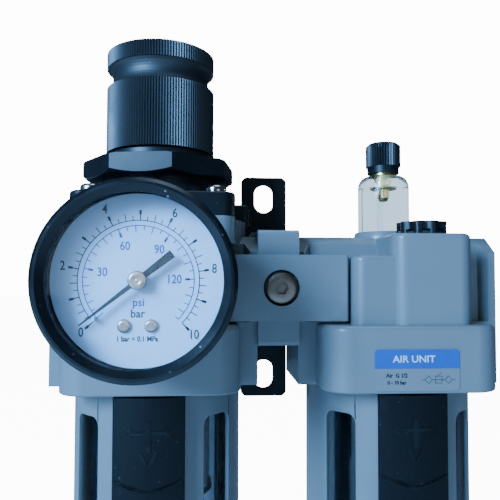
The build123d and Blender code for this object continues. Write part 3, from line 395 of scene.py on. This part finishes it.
# ------------------------------------------------------------------ shape helpers

FACING_FRONT = Matrix(((1, 0, 0), (0, 0, -1), (0, 1, 0))).to_4x4()


def on_plane(x, y, z):
    """Matrix from a drawing plane, u right and v up, to a plane that faces the front at y."""
    return Matrix.Translation((x, y, z)) @ FACING_FRONT


def around(radius, angle):
    """Point of a drawing plane at a radius and an angle."""
    return radius * math.cos(angle), radius * math.sin(angle)


def add_piece(name, bm, finish_name, body, smooth=False):
    """Make a mesh object from the bmesh and let it ride on a body."""
    bmesh.ops.recalc_face_normals(bm, faces=bm.faces)
    mesh = bpy.data.meshes.new(name)
    bm.to_mesh(mesh)
    bm.free()
    for polygon in mesh.polygons:
        polygon.use_smooth = smooth
    mesh.materials.append(FINISHES[finish_name])
    piece = bpy.data.objects.new(name, mesh)
    bpy.context.scene.collection.objects.link(piece)
    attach(piece, body)
    return piece


def add_bar(bm, plane, x, y, length, width, angle, thickness):
    """Thin bar on a drawing plane, along the angle from its middle."""
    place = Matrix.Translation((x, y, thickness / 2)) @ Matrix.Rotation(angle, 4, "Z")
    size = Matrix.Diagonal((length, width, thickness, 1))
    bmesh.ops.create_cube(bm, size=1.0, matrix=plane @ place @ size)


def add_arc(bm, plane, radius, width, start, end, thickness, steps=72):
    """Thin curved band on a drawing plane."""
    part = bmesh.new()
    sides = (radius - width / 2, radius + width / 2)
    first = [part.verts.new((math.cos(start) * r, math.sin(start) * r, 0)) for r in sides]
    edge = part.edges.new(first)
    bmesh.ops.spin(
        part, geom=[*first, edge], cent=(0, 0, 0), axis=(0, 0, 1), angle=end - start, steps=steps
    )
    bmesh.ops.solidify(part, geom=part.faces[:], thickness=thickness)
    shift = min(v.co.z for v in part.verts)
    bmesh.ops.translate(part, verts=part.verts, vec=(0, 0, -shift))
    bmesh.ops.transform(part, matrix=plane, verts=part.verts)
    merge(bm, part)


def merge(bm, part):
    """Join one bmesh into another."""
    mesh = bpy.data.meshes.new("joined")
    part.to_mesh(mesh)
    part.free()
    bm.from_mesh(mesh)
    bpy.data.meshes.remove(mesh)


def add_text(bm, plane, words, x, y, size, thickness, stretch=1.0):
    """Flat lettering as a mesh, centred on a point of the drawing plane."""
    curve = bpy.data.curves.new("lettering", "FONT")
    curve.body = words
    curve.size = size
    curve.align_x = "CENTER"
    curve.align_y = "CENTER"
    curve.resolution_u = 3
    curve.extrude = thickness / 2
    curve.offset = bpy.context.scene.air_dial.letter_weight
    letters = bpy.data.objects.new("lettering", curve)
    bpy.context.scene.collection.objects.link(letters)
    bpy.context.view_layer.update()
    mesh = bpy.data.meshes.new_from_object(letters)
    place = Matrix.Translation((x, y, thickness / 2)) @ Matrix.Diagonal((stretch, 1, 1, 1))
    mesh.transform(plane @ place)
    bm.from_mesh(mesh)
    bpy.data.objects.remove(letters)
    bpy.data.curves.remove(curve)
    bpy.data.meshes.remove(mesh)


# ------------------------------------------------------------------ operators


class AIRUNIT_OT_finishes(bpy.types.Operator):
    """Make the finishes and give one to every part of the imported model"""

    bl_idname = "airunit.finishes"
    bl_label = "Apply Finishes"

    def execute(self, context):
        settings = context.scene.air_finish
        GROUPS.update(mottle=mottle_group(), grain=grain_group(), dust=dust_group(), wear=wear_group())
        paint, plastic = tuple(settings.paint), tuple(settings.plastic)
        FINISHES.update(
            paint=finish(
                "Casting Paint", paint, shift=0.93, mottle_scale=38, grain=1300, smooth=0.34, rough=0.42,
                height=0.05, coat=0.2, wear=0.2, wear_colour=(0.3, 0.32, 0.34), dust=0.1,
            ),
            plastic=finish(
                "Moulded Black", plastic, shift=0.75, grain=1600, smooth=0.3, rough=0.46, height=0.03,
                wear=0.3, wear_colour=(0.05, 0.055, 0.06), dust=0.12, specular=0.4,
            ),
            satin_black=finish(
                "Black Enamel", (0.005, 0.006, 0.008), shift=0.8, grain=700, smooth=0.22, rough=0.36,
                height=0.02, wear=0.3, wear_colour=(0.05, 0.055, 0.06), dust=0.45, specular=0.4,
            ),
            bracket=finish(
                "Bracket Black", (0.016, 0.016, 0.016), shift=0.7, grain=1100, smooth=0.4, rough=0.6,
                height=0.05, wear=0.3, wear_colour=(0.06, 0.065, 0.07), dust=0.15, specular=0.3,
            ),
            chrome=finish(
                "Plated Screw", (0.62, 0.52, 0.45), shift=0.8, grain=1500, smooth=0.14, rough=0.32,
                height=0.02, metallic=1.0,
            ),
            aged=finish(
                "Aged Screw", (0.36, 0.25, 0.19), shift=0.75, mottle_scale=220, grain=1500, smooth=0.32,
                rough=0.48, height=0.03, metallic=1.0,
            ),
            grip=finish(
                "Ribbed Grip", plastic, shift=0.8, grain=1600, smooth=0.42, rough=0.56, height=0.03,
                dust=0.1, specular=0.8,
            ),
            lock=finish(
                "Lock Plastic", (0.0035, 0.004, 0.005), shift=0.75, grain=1600, smooth=0.36, rough=0.5,
                height=0.03, wear=0.2, wear_colour=(0.03, 0.033, 0.036), dust=0.1, specular=0.2,
            ),
            steel=finish(
                "Plain Steel", (0.5, 0.5, 0.51), shift=0.8, grain=900, smooth=0.25, rough=0.45,
                height=0.02, metallic=1.0,
            ),
            brass=finish(
                "Machined Brass", (0.72, 0.52, 0.2), shift=0.85, grain=600, smooth=0.16, rough=0.34,
                height=0.02, metallic=1.0, stretch=(1, 1, 6),
            ),
            rubber=finish("Seal Rubber", (0.015, 0.015, 0.016), smooth=0.55, rough=0.75, height=0.03),
            # painted blue light: the dial is white, and this blue-grey base colour stands in for the blue key
            # light falling on it
            dial=finish(
                "Dial Enamel With Painted Blue Light", (0.3, 0.43, 0.58), shift=0.98, mottle_scale=25, grain=2000, smooth=0.45,
                rough=0.6, height=0.006,
            ),
            porous=finish(
                "Sintered Element", (0.68, 0.69, 0.68), shift=0.86, mottle_scale=700, grain=2600,
                smooth=0.8, rough=0.95, height=0.25,
            ),
            inner=finish(
                "Inner Plastic", (0.05, 0.055, 0.065), shift=0.8, grain=900, smooth=0.4, rough=0.55,
                height=0.02,
            ),
            aluminium=finish(
                "Turned Aluminium", (0.6, 0.61, 0.63), shift=0.9, grain=900, smooth=0.25, rough=0.4,
                height=0.02, metallic=1.0,
            ),
            film=finish(
                "Label Film", (0.22, 0.22, 0.228), shift=0.95, mottle_scale=90, grain=1500, smooth=0.25,
                rough=0.38, height=0.006, coat=0.1,
            ),
            ink=finish(
                "Dial Ink", tuple(context.scene.air_dial.ink), shift=0.8, smooth=0.45, rough=0.6,
                height=0.004,
            ),
            blue_ink=finish(
                "Dial Blue", tuple(context.scene.air_dial.blue_ink), shift=0.85, smooth=0.45, rough=0.6,
                height=0.004,
            ),
            band=finish(
                "Label Band", tuple(settings.band), shift=0.92, mottle_scale=90, smooth=0.4, rough=0.5,
                height=0.004, specular=0.3,
            ),
            pale_ink=finish(
                "Pale Ink", (0.62, 0.72, 0.86), shift=0.95, smooth=0.3, rough=0.45, height=0.004,
            ),
            clear=clear_finish("Clear Bowl", (0.5, 0.56, 0.6), smooth=0.04, rough=0.12),
            dome=clear_finish("Clear Dome", (0.93, 0.97, 1.0), smooth=0.02, rough=0.06, ior=1.3),
            lens=clear_finish("Gauge Lens", (0.98, 0.99, 1.0), smooth=0.01, rough=0.03, ior=1.45),
        )
        slots = {
            "grey_paint": "paint", "black_plastic": "plastic", "black_paint": "satin_black",
            "chrome_screw": "chrome", "clear_plastic": "clear", "brass": "brass", "steel": "steel",
            "rubber": "rubber", "white_dial": "dial", "white_filter": "porous", "inner_plastic": "inner",
            "aluminium": "aluminium", "label_film": "film",
        }
        own = {
            "gauge_lens": "lens", "sight_dome": "dome", "wall_bracket": "bracket", "clamp_screws": "aged",
            "knob": "grip", "feed_tube": "dome", "filter_lock_slide": "lock", "lubricator_lock_slide": "lock",
            "gauge_pointer": "ink",
        }
        for part in frame["record"]["subparts"]:
            node = NODES[part["node"]]
            chosen = own.get(part["node"], slots[part["material_slot"]])
            node.data.materials.clear()
            node.data.materials.append(FINISHES[chosen])
        return {"FINISHED"}


class AIRUNIT_OT_edges(bpy.types.Operator):
    """Round the edges of the castings, plates and plastic parts"""

    bl_idname = "airunit.edges"
    bl_label = "Round Edges"

    def execute(self, context):
        radius = context.scene.air_finish.edge_radius
        widths = {
            "filter_body": radius, "lubricator_body": radius, "bonnet": radius, "clamp_plate": radius,
            "spacer": radius, "wall_bracket": radius, "filter_bowl_guard": radius * 0.8,
            "lubricator_bowl_guard": radius * 0.8, "filter_lock_slide": radius * 0.7,
            "lubricator_lock_slide": radius * 0.7, "panel_nut": radius * 0.6, "gauge_socket": radius * 0.6,
            "bonnet_screws": radius * 0.3, "clamp_screws": radius * 0.25, "drip_bushing": radius * 0.4,
            "fill_plug": radius * 0.7, "gauge_pointer": radius * 0.15, "drain_cock": radius * 0.4,
        }
        for name, width in widths.items():
            node = NODES[name]
            weld = node.modifiers.new("Weld", "WELD")
            weld.merge_threshold = 0.01 * MM
            bevel = node.modifiers.new("Rounded Edges", "BEVEL")
            bevel.width = width
            bevel.segments = 2
            bevel.limit_method = "ANGLE"
            bevel.angle_limit = math.radians(40)
            bevel.use_clamp_overlap = True
            bevel.harden_normals = False
            normals = node.modifiers.new("Even Normals", "WEIGHTED_NORMAL")
            normals.keep_sharp = False
            for polygon in node.data.polygons:
                polygon.use_smooth = True
        return {"FINISHED"}


class AIRUNIT_OT_dial(bpy.types.Operator):
    """Print the two pressure scales, numbers and units on the dial"""

    bl_idname = "airunit.dial"
    bl_label = "Print Dial"

    def execute(self, context):
        s = context.scene.air_dial
        plane = on_plane(GAUGE_X, PORT_Y - DIAL_FACE, GAUGE_Z)
        film = PRINT_FILM
        black, blue = bmesh.new(), bmesh.new()
        add_arc(black, plane, s.scale_radius, LINE_WIDTH, s.start_angle - s.sweep, s.start_angle, film)
        add_arc(blue, plane, s.inner_radius, LINE_WIDTH, s.start_angle - s.sweep, s.start_angle, film)
        full_bar = 10
        marks = 4 * full_bar
        for tick in range(marks + 1):
            angle = s.start_angle - s.sweep * tick / marks
            if tick % 4 == 0:
                length, width = 2.5 * MM, 0.28 * MM
            elif tick % 2 == 0:
                length, width = 2.0 * MM, 0.22 * MM
            else:
                length, width = 1.2 * MM, 0.22 * MM
            middle = s.scale_radius + length / 2
            add_bar(black, plane, *around(middle, angle), length, width, angle, film)
            if tick % 4 == 0:
                outer = s.scale_radius + length - 0.35 * MM
                add_bar(black, plane, *around(outer, angle), 1.2 * MM, 0.65 * MM, angle, film)
        number_gaps = {4: 4.9, 10: 4.5}
        for bar in range(0, full_bar + 1, 2):
            angle = s.start_angle - s.sweep * bar / full_bar
            reach = s.scale_radius + number_gaps.get(bar, 4.25) * MM
            add_text(black, plane, str(bar), *around(reach, angle), 3.5 * MM, film, 0.8)
        full_psi = 145.04
        for psi in range(0, round(full_psi) + 1, 5):
            angle = s.start_angle - s.sweep * psi / full_psi
            length = (1.9 if psi % 10 == 0 else 1.2) * MM
            if psi % 30 == 0:
                length = 2.2 * MM
            middle = s.inner_radius - length / 2
            add_bar(blue, plane, *around(middle, angle), length, LINE_WIDTH, angle, film)
            if psi % 30 == 0 and psi:
                inner = s.inner_radius - length + 0.4 * MM
                add_bar(blue, plane, *around(inner, angle), 1.3 * MM, 0.6 * MM, angle, film)
                reach = s.inner_radius - (4.9 if psi < 100 else 5.4) * MM
                add_text(blue, plane, str(psi), *around(reach, angle), 3.3 * MM, film, 0.84)
        add_text(blue, plane, "psi", 0, -5.9 * MM, 3.1 * MM, film, 0.95)
        add_text(black, plane, "bar", -0.2 * MM, -8.9 * MM, 3.1 * MM, film, 0.95)
        add_text(black, plane, "1 bar = 0.1 MPa", -0.3 * MM, -15.6 * MM, 2.0 * MM, film, 0.86)
        add_piece("dial_scale_bar", black, "ink", "unit")
        add_piece("dial_scale_psi", blue, "blue_ink", "unit")
        return {"FINISHED"}


class AIRUNIT_OT_hub(bpy.types.Operator):
    """Add the turned metal cap over the pointer's hub"""

    bl_idname = "airunit.hub"
    bl_label = "Pointer Hub Cap"

    def execute(self, context):
        bm = bmesh.new()
        # the cap's half section: radius, height
        outline = [
            (0.0, 0.34), (0.35, 0.34), (0.5, 0.2), (0.8, 0.42), (1.9, 0.42), (2.35, 0.25), (2.5, 0.0),
            (0.0, 0.0),
        ]
        verts = [bm.verts.new((r * MM, 0, z * MM)) for r, z in outline]
        edges = [bm.edges.new((verts[i], verts[i + 1])) for i in range(len(verts) - 1)]
        bmesh.ops.spin(
            bm, geom=[*verts, *edges], cent=(0, 0, 0), axis=(0, 0, 1), angle=math.tau, steps=ROUND_STEPS,
            use_merge=True,
        )
        bmesh.ops.remove_doubles(bm, verts=bm.verts, dist=WELD_GAP)
        bmesh.ops.transform(bm, matrix=on_plane(GAUGE_X, POINTER_LOW.y, GAUGE_Z), verts=bm.verts)
        add_piece("pointer_hub_cap", bm, "chrome", "pointer", smooth=True)
        return {"FINISHED"}


class AIRUNIT_OT_label(bpy.types.Operator):
    """Print the plain coloured band, lines and air symbols on the label"""

    bl_idname = "airunit.label"
    bl_label = "Print Label"

    def execute(self, context):
        film = PRINT_FILM
        x = (LABEL_LOW.x + LABEL_HIGH.x) / 2
        z = (LABEL_LOW.z + LABEL_HIGH.z) / 2
        plane = on_plane(x, LABEL_LOW.y, z)
        wide, high = LABEL_HIGH.x - LABEL_LOW.x, LABEL_HIGH.z - LABEL_LOW.z
        band = bmesh.new()
        band_high = BAND_SHARE * high
        middle = Matrix.Translation((0, (high - band_high) / 2, film / 2))
        extent = Matrix.Diagonal((wide - 0.1 * MM, band_high, film, 1))
        bmesh.ops.create_cube(band, size=1.0, matrix=middle @ extent)
        top = max(v.co.y for v in band.verts)
        upper = [e for e in band.edges if all(v.co.y > top - WELD_GAP for v in e.verts)]
        corners = [e for e in upper if abs(e.verts[0].co.x - e.verts[1].co.x) < WELD_GAP / 10]
        bmesh.ops.bevel(
            band, geom=corners, offset=1.1 * MM, affect="EDGES", segments=5, profile=0.5, material=-1
        )
        bmesh.ops.transform(band, matrix=plane, verts=band.verts)
        add_piece("label_band", band, "band", "unit")
        pale = bmesh.new()
        above = plane @ Matrix.Translation((0, (high - band_high) / 2, film))
        add_text(pale, above, "AIR UNIT", -1.0 * MM, -0.1 * MM, 3.0 * MM, film, 1.1)
        add_piece("label_pale_print", pale, "pale_ink", "unit")
        dark = bmesh.new()
        low = plane @ Matrix.Translation((0, -band_high / 2, 0))
        for y, size, words in ((1.3, 1.75, "Air  G 1/2"), (-0.9, 1.6, "0 - 10 bar")):
            add_text(dark, low, words, -6.6 * MM, y * MM, size * MM, film, 0.95)
        stroke = 0.12 * MM
        for diamond in (3.6, 10.0):
            for side in range(4):
                turn = math.radians(45 + 90 * side)
                add_bar(
                    dark, low, (diamond + 0.85 * math.cos(turn)) * MM, 0.85 * math.sin(turn) * MM,
                    1.8 * MM, stroke, turn + math.pi / 2, film,
                )
        # the square, the flow line and the arrow of the regulator's symbol: u, v, length, turn
        strokes = (
            (6.8, 1.1, 2.2, 0), (6.8, -1.1, 2.2, 0), (5.7, 0, 2.2, 90), (7.9, 0, 2.2, 90),
            (6.8, 0, 4.0, 0), (1.9, 0, 1.0, 0), (11.8, 0, 1.0, 0), (7.0, 1.6, 2.0, 45),
        )
        for u, v, length, turn in strokes:
            add_bar(dark, low, u * MM, v * MM, length * MM, stroke, math.radians(turn), film)
        add_piece("label_dark_print", dark, "ink", "unit")
        return {"FINISHED"}


class AIRUNIT_OT_locks(bpy.types.Operator):
    """Raise the arrows and the chevron on both lock slides"""

    bl_idname = "airunit.locks"
    bl_label = "Lock Slide Relief"

    def execute(self, context):
        for side in ("filter", "lubricator"):
            low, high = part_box(f"{side}_lock_slide")
            x = (low.x + high.x) / 2
            radius = PORT_Y - low.y
            rise = 0.35 * MM
            sunk = 0.12 * MM
            bm = bmesh.new()
            flat = on_plane(x, low.y, RELIEF_HEIGHT)
            # shaft and arms, arrow head, side arrows: u, v, length, width, turn
            bars = [
                (0, 3.2, 9.5, 1.9, 90), (-3.4, 4.2, 5.2, 1.3, 0), (3.4, 4.2, 5.2, 1.3, 0),
                (-1.5, -3.6, 4.6, 1.1, 118), (1.5, -3.6, 4.6, 1.1, 62),
                (-6.2, 4.9, 2.4, 0.8, 35), (-6.2, 3.5, 2.4, 0.8, -35),
                (6.2, 4.9, 2.4, 0.8, -35), (6.2, 3.5, 2.4, 0.8, 35),
            ]
            for u, v, length, width, turn in bars:
                add_bar(bm, flat, u * MM, v * MM, length * MM, width * MM, math.radians(turn), rise)
            for sign in (-1, 1):
                add_bar(
                    bm, flat, sign * 5.2 * MM, -12.4 * MM, 11.2 * MM, 0.9 * MM, sign * math.radians(17),
                    rise * 1.6,
                )
            bmesh.ops.subdivide_edges(bm, edges=bm.edges[:], cuts=1)
            for vert in bm.verts:
                u = vert.co.x - x
                back = radius - math.sqrt(max(radius ** 2 - u ** 2, 0))
                vert.co.y += back + sunk
            add_piece(f"{side}_lock_relief", bm, "lock", f"{side}_lock")
        return {"FINISHED"}


class AIRUNIT_OT_threads(bpy.types.Operator):
    """Add rings like the ridges of a thread inside both ports"""

    bl_idname = "airunit.threads"
    bl_label = "Port Threads"

    def execute(self, context):
        box_low, box_high = CAD_BOX
        for name, face, inward in (("inlet_thread", box_low.x, 1), ("outlet_thread", box_high.x, -1)):
            bm = bmesh.new()
            for turn in range(THREAD_TURNS):
                x = face + inward * (1.6 * MM + turn * THREAD_PITCH)
                profile = [(-0.8, 9.28), (0.0, 8.5), (0.8, 9.28)]
                verts = [bm.verts.new((x + p * MM, PORT_Y, r * MM)) for p, r in profile]
                pairs = ((0, 1), (1, 2), (2, 0))
                edges = [bm.edges.new((verts[a], verts[b])) for a, b in pairs]
                bmesh.ops.spin(
                    bm, geom=[*verts, *edges], cent=(x, PORT_Y, 0), axis=(1, 0, 0), angle=math.tau,
                    steps=ROUND_STEPS, use_merge=True,
                )
            bmesh.ops.remove_doubles(bm, verts=bm.verts, dist=WELD_GAP)
            add_piece(name, bm, "paint", "unit", smooth=False)
        return {"FINISHED"}


class AIRUNIT_OT_springs(bpy.types.Operator):
    """Put a copy of each of the four coil springs on its joint's moving body and hide the original"""

    bl_idname = "airunit.springs"
    bl_label = "Shortening Springs"

    def execute(self, context):
        # node, the joint whose moving body carries it, that joint's travel
        springs = (
            ("regulating_spring", "carrier_travel", 9.0 * MM),
            ("valve_spring", "valve_travel", 2.0 * MM),
            ("filter_lock_spring", "filter_lock_pull", 5.0 * MM),
            ("lubricator_lock_spring", "lubricator_lock_pull", 5.0 * MM),
        )
        for node, joint, travel in springs:
            body = next(j["child"] for j in frame["joints"] if j["name"] == joint)
            bm = bmesh.new()
            bm.from_mesh(NODES[node].data)
            bmesh.ops.remove_doubles(bm, verts=bm.verts, dist=WELD_GAP)
            piece = add_piece(f"{node}_coil", bm, "steel", body, smooth=True)
            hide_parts(node)
            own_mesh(piece)
        return {"FINISHED"}


class AIRUNIT_OT_stage(bpy.types.Operator):
    """Set up the floor, the soft lights and the camera"""

    bl_idname = "airunit.stage"
    bl_label = "Stage"

    def execute(self, context):
        s = context.scene.air_stage
        ground = CAD_BOX[0].z - 0.5 * MM
        bm = bmesh.new()
        bmesh.ops.create_circle(bm, cap_ends=True, radius=6.0, segments=96)
        mesh = bpy.data.meshes.new("floor")
        bm.to_mesh(mesh)
        bm.free()
        floor = bpy.data.objects.new("floor", mesh)
        floor.location = (0, 0, ground)
        context.scene.collection.objects.link(floor)
        material = bpy.data.materials.new("Pale Floor")
        material.use_nodes = True
        shader = material.node_tree.nodes["Principled BSDF"]
        shader.inputs["Base Color"].default_value = (*s.floor_colour, 1)
        shader.inputs["Roughness"].default_value = 0.9
        shader.inputs["Specular IOR Level"].default_value = 0.1
        shader.inputs["Emission Color"].default_value = (1, 1, 1, 1)
        path = material.node_tree.nodes.new("ShaderNodeLightPath")
        glow = material.node_tree.nodes.new("ShaderNodeMapRange")
        glow.inputs["To Min"].default_value = 0.0
        glow.inputs["To Max"].default_value = 12.0
        material.node_tree.links.new(path.outputs["Is Camera Ray"], glow.inputs["Value"])
        material.node_tree.links.new(glow.outputs["Result"], shader.inputs["Emission Strength"])
        mesh.materials.append(material)

        world = bpy.data.worlds.new("Pale Studio")
        context.scene.world = world
        world.use_nodes = True
        nodes, links = world.node_tree.nodes, world.node_tree.links
        nodes.clear()
        out = nodes.new("ShaderNodeOutputWorld")
        mix, through = nodes.new("ShaderNodeMixShader"), nodes.new("ShaderNodeMixShader")
        path = nodes.new("ShaderNodeLightPath")
        # what the camera sees, what lights the object, and what shows through clear plastic
        seen, lit, behind = [nodes.new("ShaderNodeBackground") for _ in range(3)]
        shades = (
            (seen, (1, 1, 1, 1), 14.0), (lit, (0.5, 0.7, 1.0, 1), 0.06), (behind, (0.62, 0.82, 1.0, 1), 1.6),
        )
        for shade, colour, strength in shades:
            shade.inputs["Color"].default_value = colour
            shade.inputs["Strength"].default_value = strength
        links.new(path.outputs["Is Camera Ray"], mix.inputs[0])
        links.new(path.outputs["Is Transmission Ray"], through.inputs[0])
        links.new(lit.outputs[0], through.inputs[1])
        links.new(behind.outputs[0], through.inputs[2])
        links.new(through.outputs[0], mix.inputs[1])
        links.new(seen.outputs[0], mix.inputs[2])
        links.new(mix.outputs[0], out.inputs["Surface"])

        lamps = (
            ("key", (-0.6, PORT_Y - 0.7, 0.34), 0.34, s.key_power, tuple(s.key_colour)),
            ("low front", (0.5, PORT_Y - 1.1, -0.1), 0.5, s.key_power * 0.05, (0.4, 0.68, 1.0)),
            ("top", (0.1, PORT_Y - 0.1, 0.9), 0.5, s.key_power * 0.1, (0.5, 0.75, 1.0)),
        )
        target = Vector((0, PORT_Y, 0.0))
        for name, place, size, power, colour in lamps:
            lamp = bpy.data.lights.new(name, "AREA")
            lamp.energy = power
            lamp.size = size
            lamp.color = colour
            holder = bpy.data.objects.new(name, lamp)
            holder.location = place
            holder.rotation_euler = (target - Vector(place)).to_track_quat("-Z", "Y").to_euler()
            context.scene.collection.objects.link(holder)

        eye = Vector((UNIT_X - 21.7 * MM, PORT_Y - 211.6 * MM, 2.3 * MM))
        yaw, pitch, roll = 0.061, 0.038, 0.002
        ahead = Vector((math.sin(yaw) * math.cos(pitch), math.cos(yaw) * math.cos(pitch), math.sin(pitch)))
        right = Vector((math.cos(yaw), -math.sin(yaw), 0))
        up = right.cross(ahead)
        turned_right = right * math.cos(roll) + up * math.sin(roll)
        turned_up = up * math.cos(roll) - right * math.sin(roll)
        view = bpy.data.cameras.new("view")
        view.sensor_width = 36
        view.lens = 40.97
        view.shift_x = 0.0008
        view.shift_y = 0.0183
        view.clip_start = 0.01
        camera = bpy.data.objects.new("view", view)
        axes = Matrix((turned_right, turned_up, -ahead)).transposed().to_4x4()
        camera.matrix_world = Matrix.Translation(eye) @ axes
        context.scene.collection.objects.link(camera)
        context.scene.camera = camera
        return {"FINISHED"}


# ------------------------------------------------------------------ panel and registration


STEPS = (
    AIRUNIT_OT_finishes,
    AIRUNIT_OT_edges,
    AIRUNIT_OT_dial,
    AIRUNIT_OT_hub,
    AIRUNIT_OT_label,
    AIRUNIT_OT_locks,
    AIRUNIT_OT_threads,
    AIRUNIT_OT_springs,
    AIRUNIT_OT_stage,
)


class AIRUNIT_PT_panel(bpy.types.Panel):
    """Lists the steps and settings of the air unit"""

    bl_idname = "AIRUNIT_PT_panel"
    bl_label = "Air Unit"
    bl_space_type = "VIEW_3D"
    bl_region_type = "UI"
    bl_category = "Air Unit"

    def draw(self, context):
        for step in STEPS:
            self.layout.operator(step.bl_idname)
        for group in (context.scene.air_dial, context.scene.air_finish, context.scene.air_stage):
            for name in group.__annotations__:
                self.layout.prop(group, name)


CLASSES = (DialSettings, FinishSettings, StageSettings, *STEPS, AIRUNIT_PT_panel)


def register():
    for item in CLASSES:
        bpy.utils.register_class(item)
    bpy.types.Scene.air_dial = bpy.props.PointerProperty(type=DialSettings)
    bpy.types.Scene.air_finish = bpy.props.PointerProperty(type=FinishSettings)
    bpy.types.Scene.air_stage = bpy.props.PointerProperty(type=StageSettings)


def unregister():
    del bpy.types.Scene.air_dial
    del bpy.types.Scene.air_finish
    del bpy.types.Scene.air_stage
    for item in reversed(CLASSES):
        bpy.utils.unregister_class(item)


def main():
    register()
    for step in STEPS:
        area, name = step.bl_idname.split(".")
        getattr(getattr(bpy.ops, area), name)()


if __name__ == "__main__":
    main()
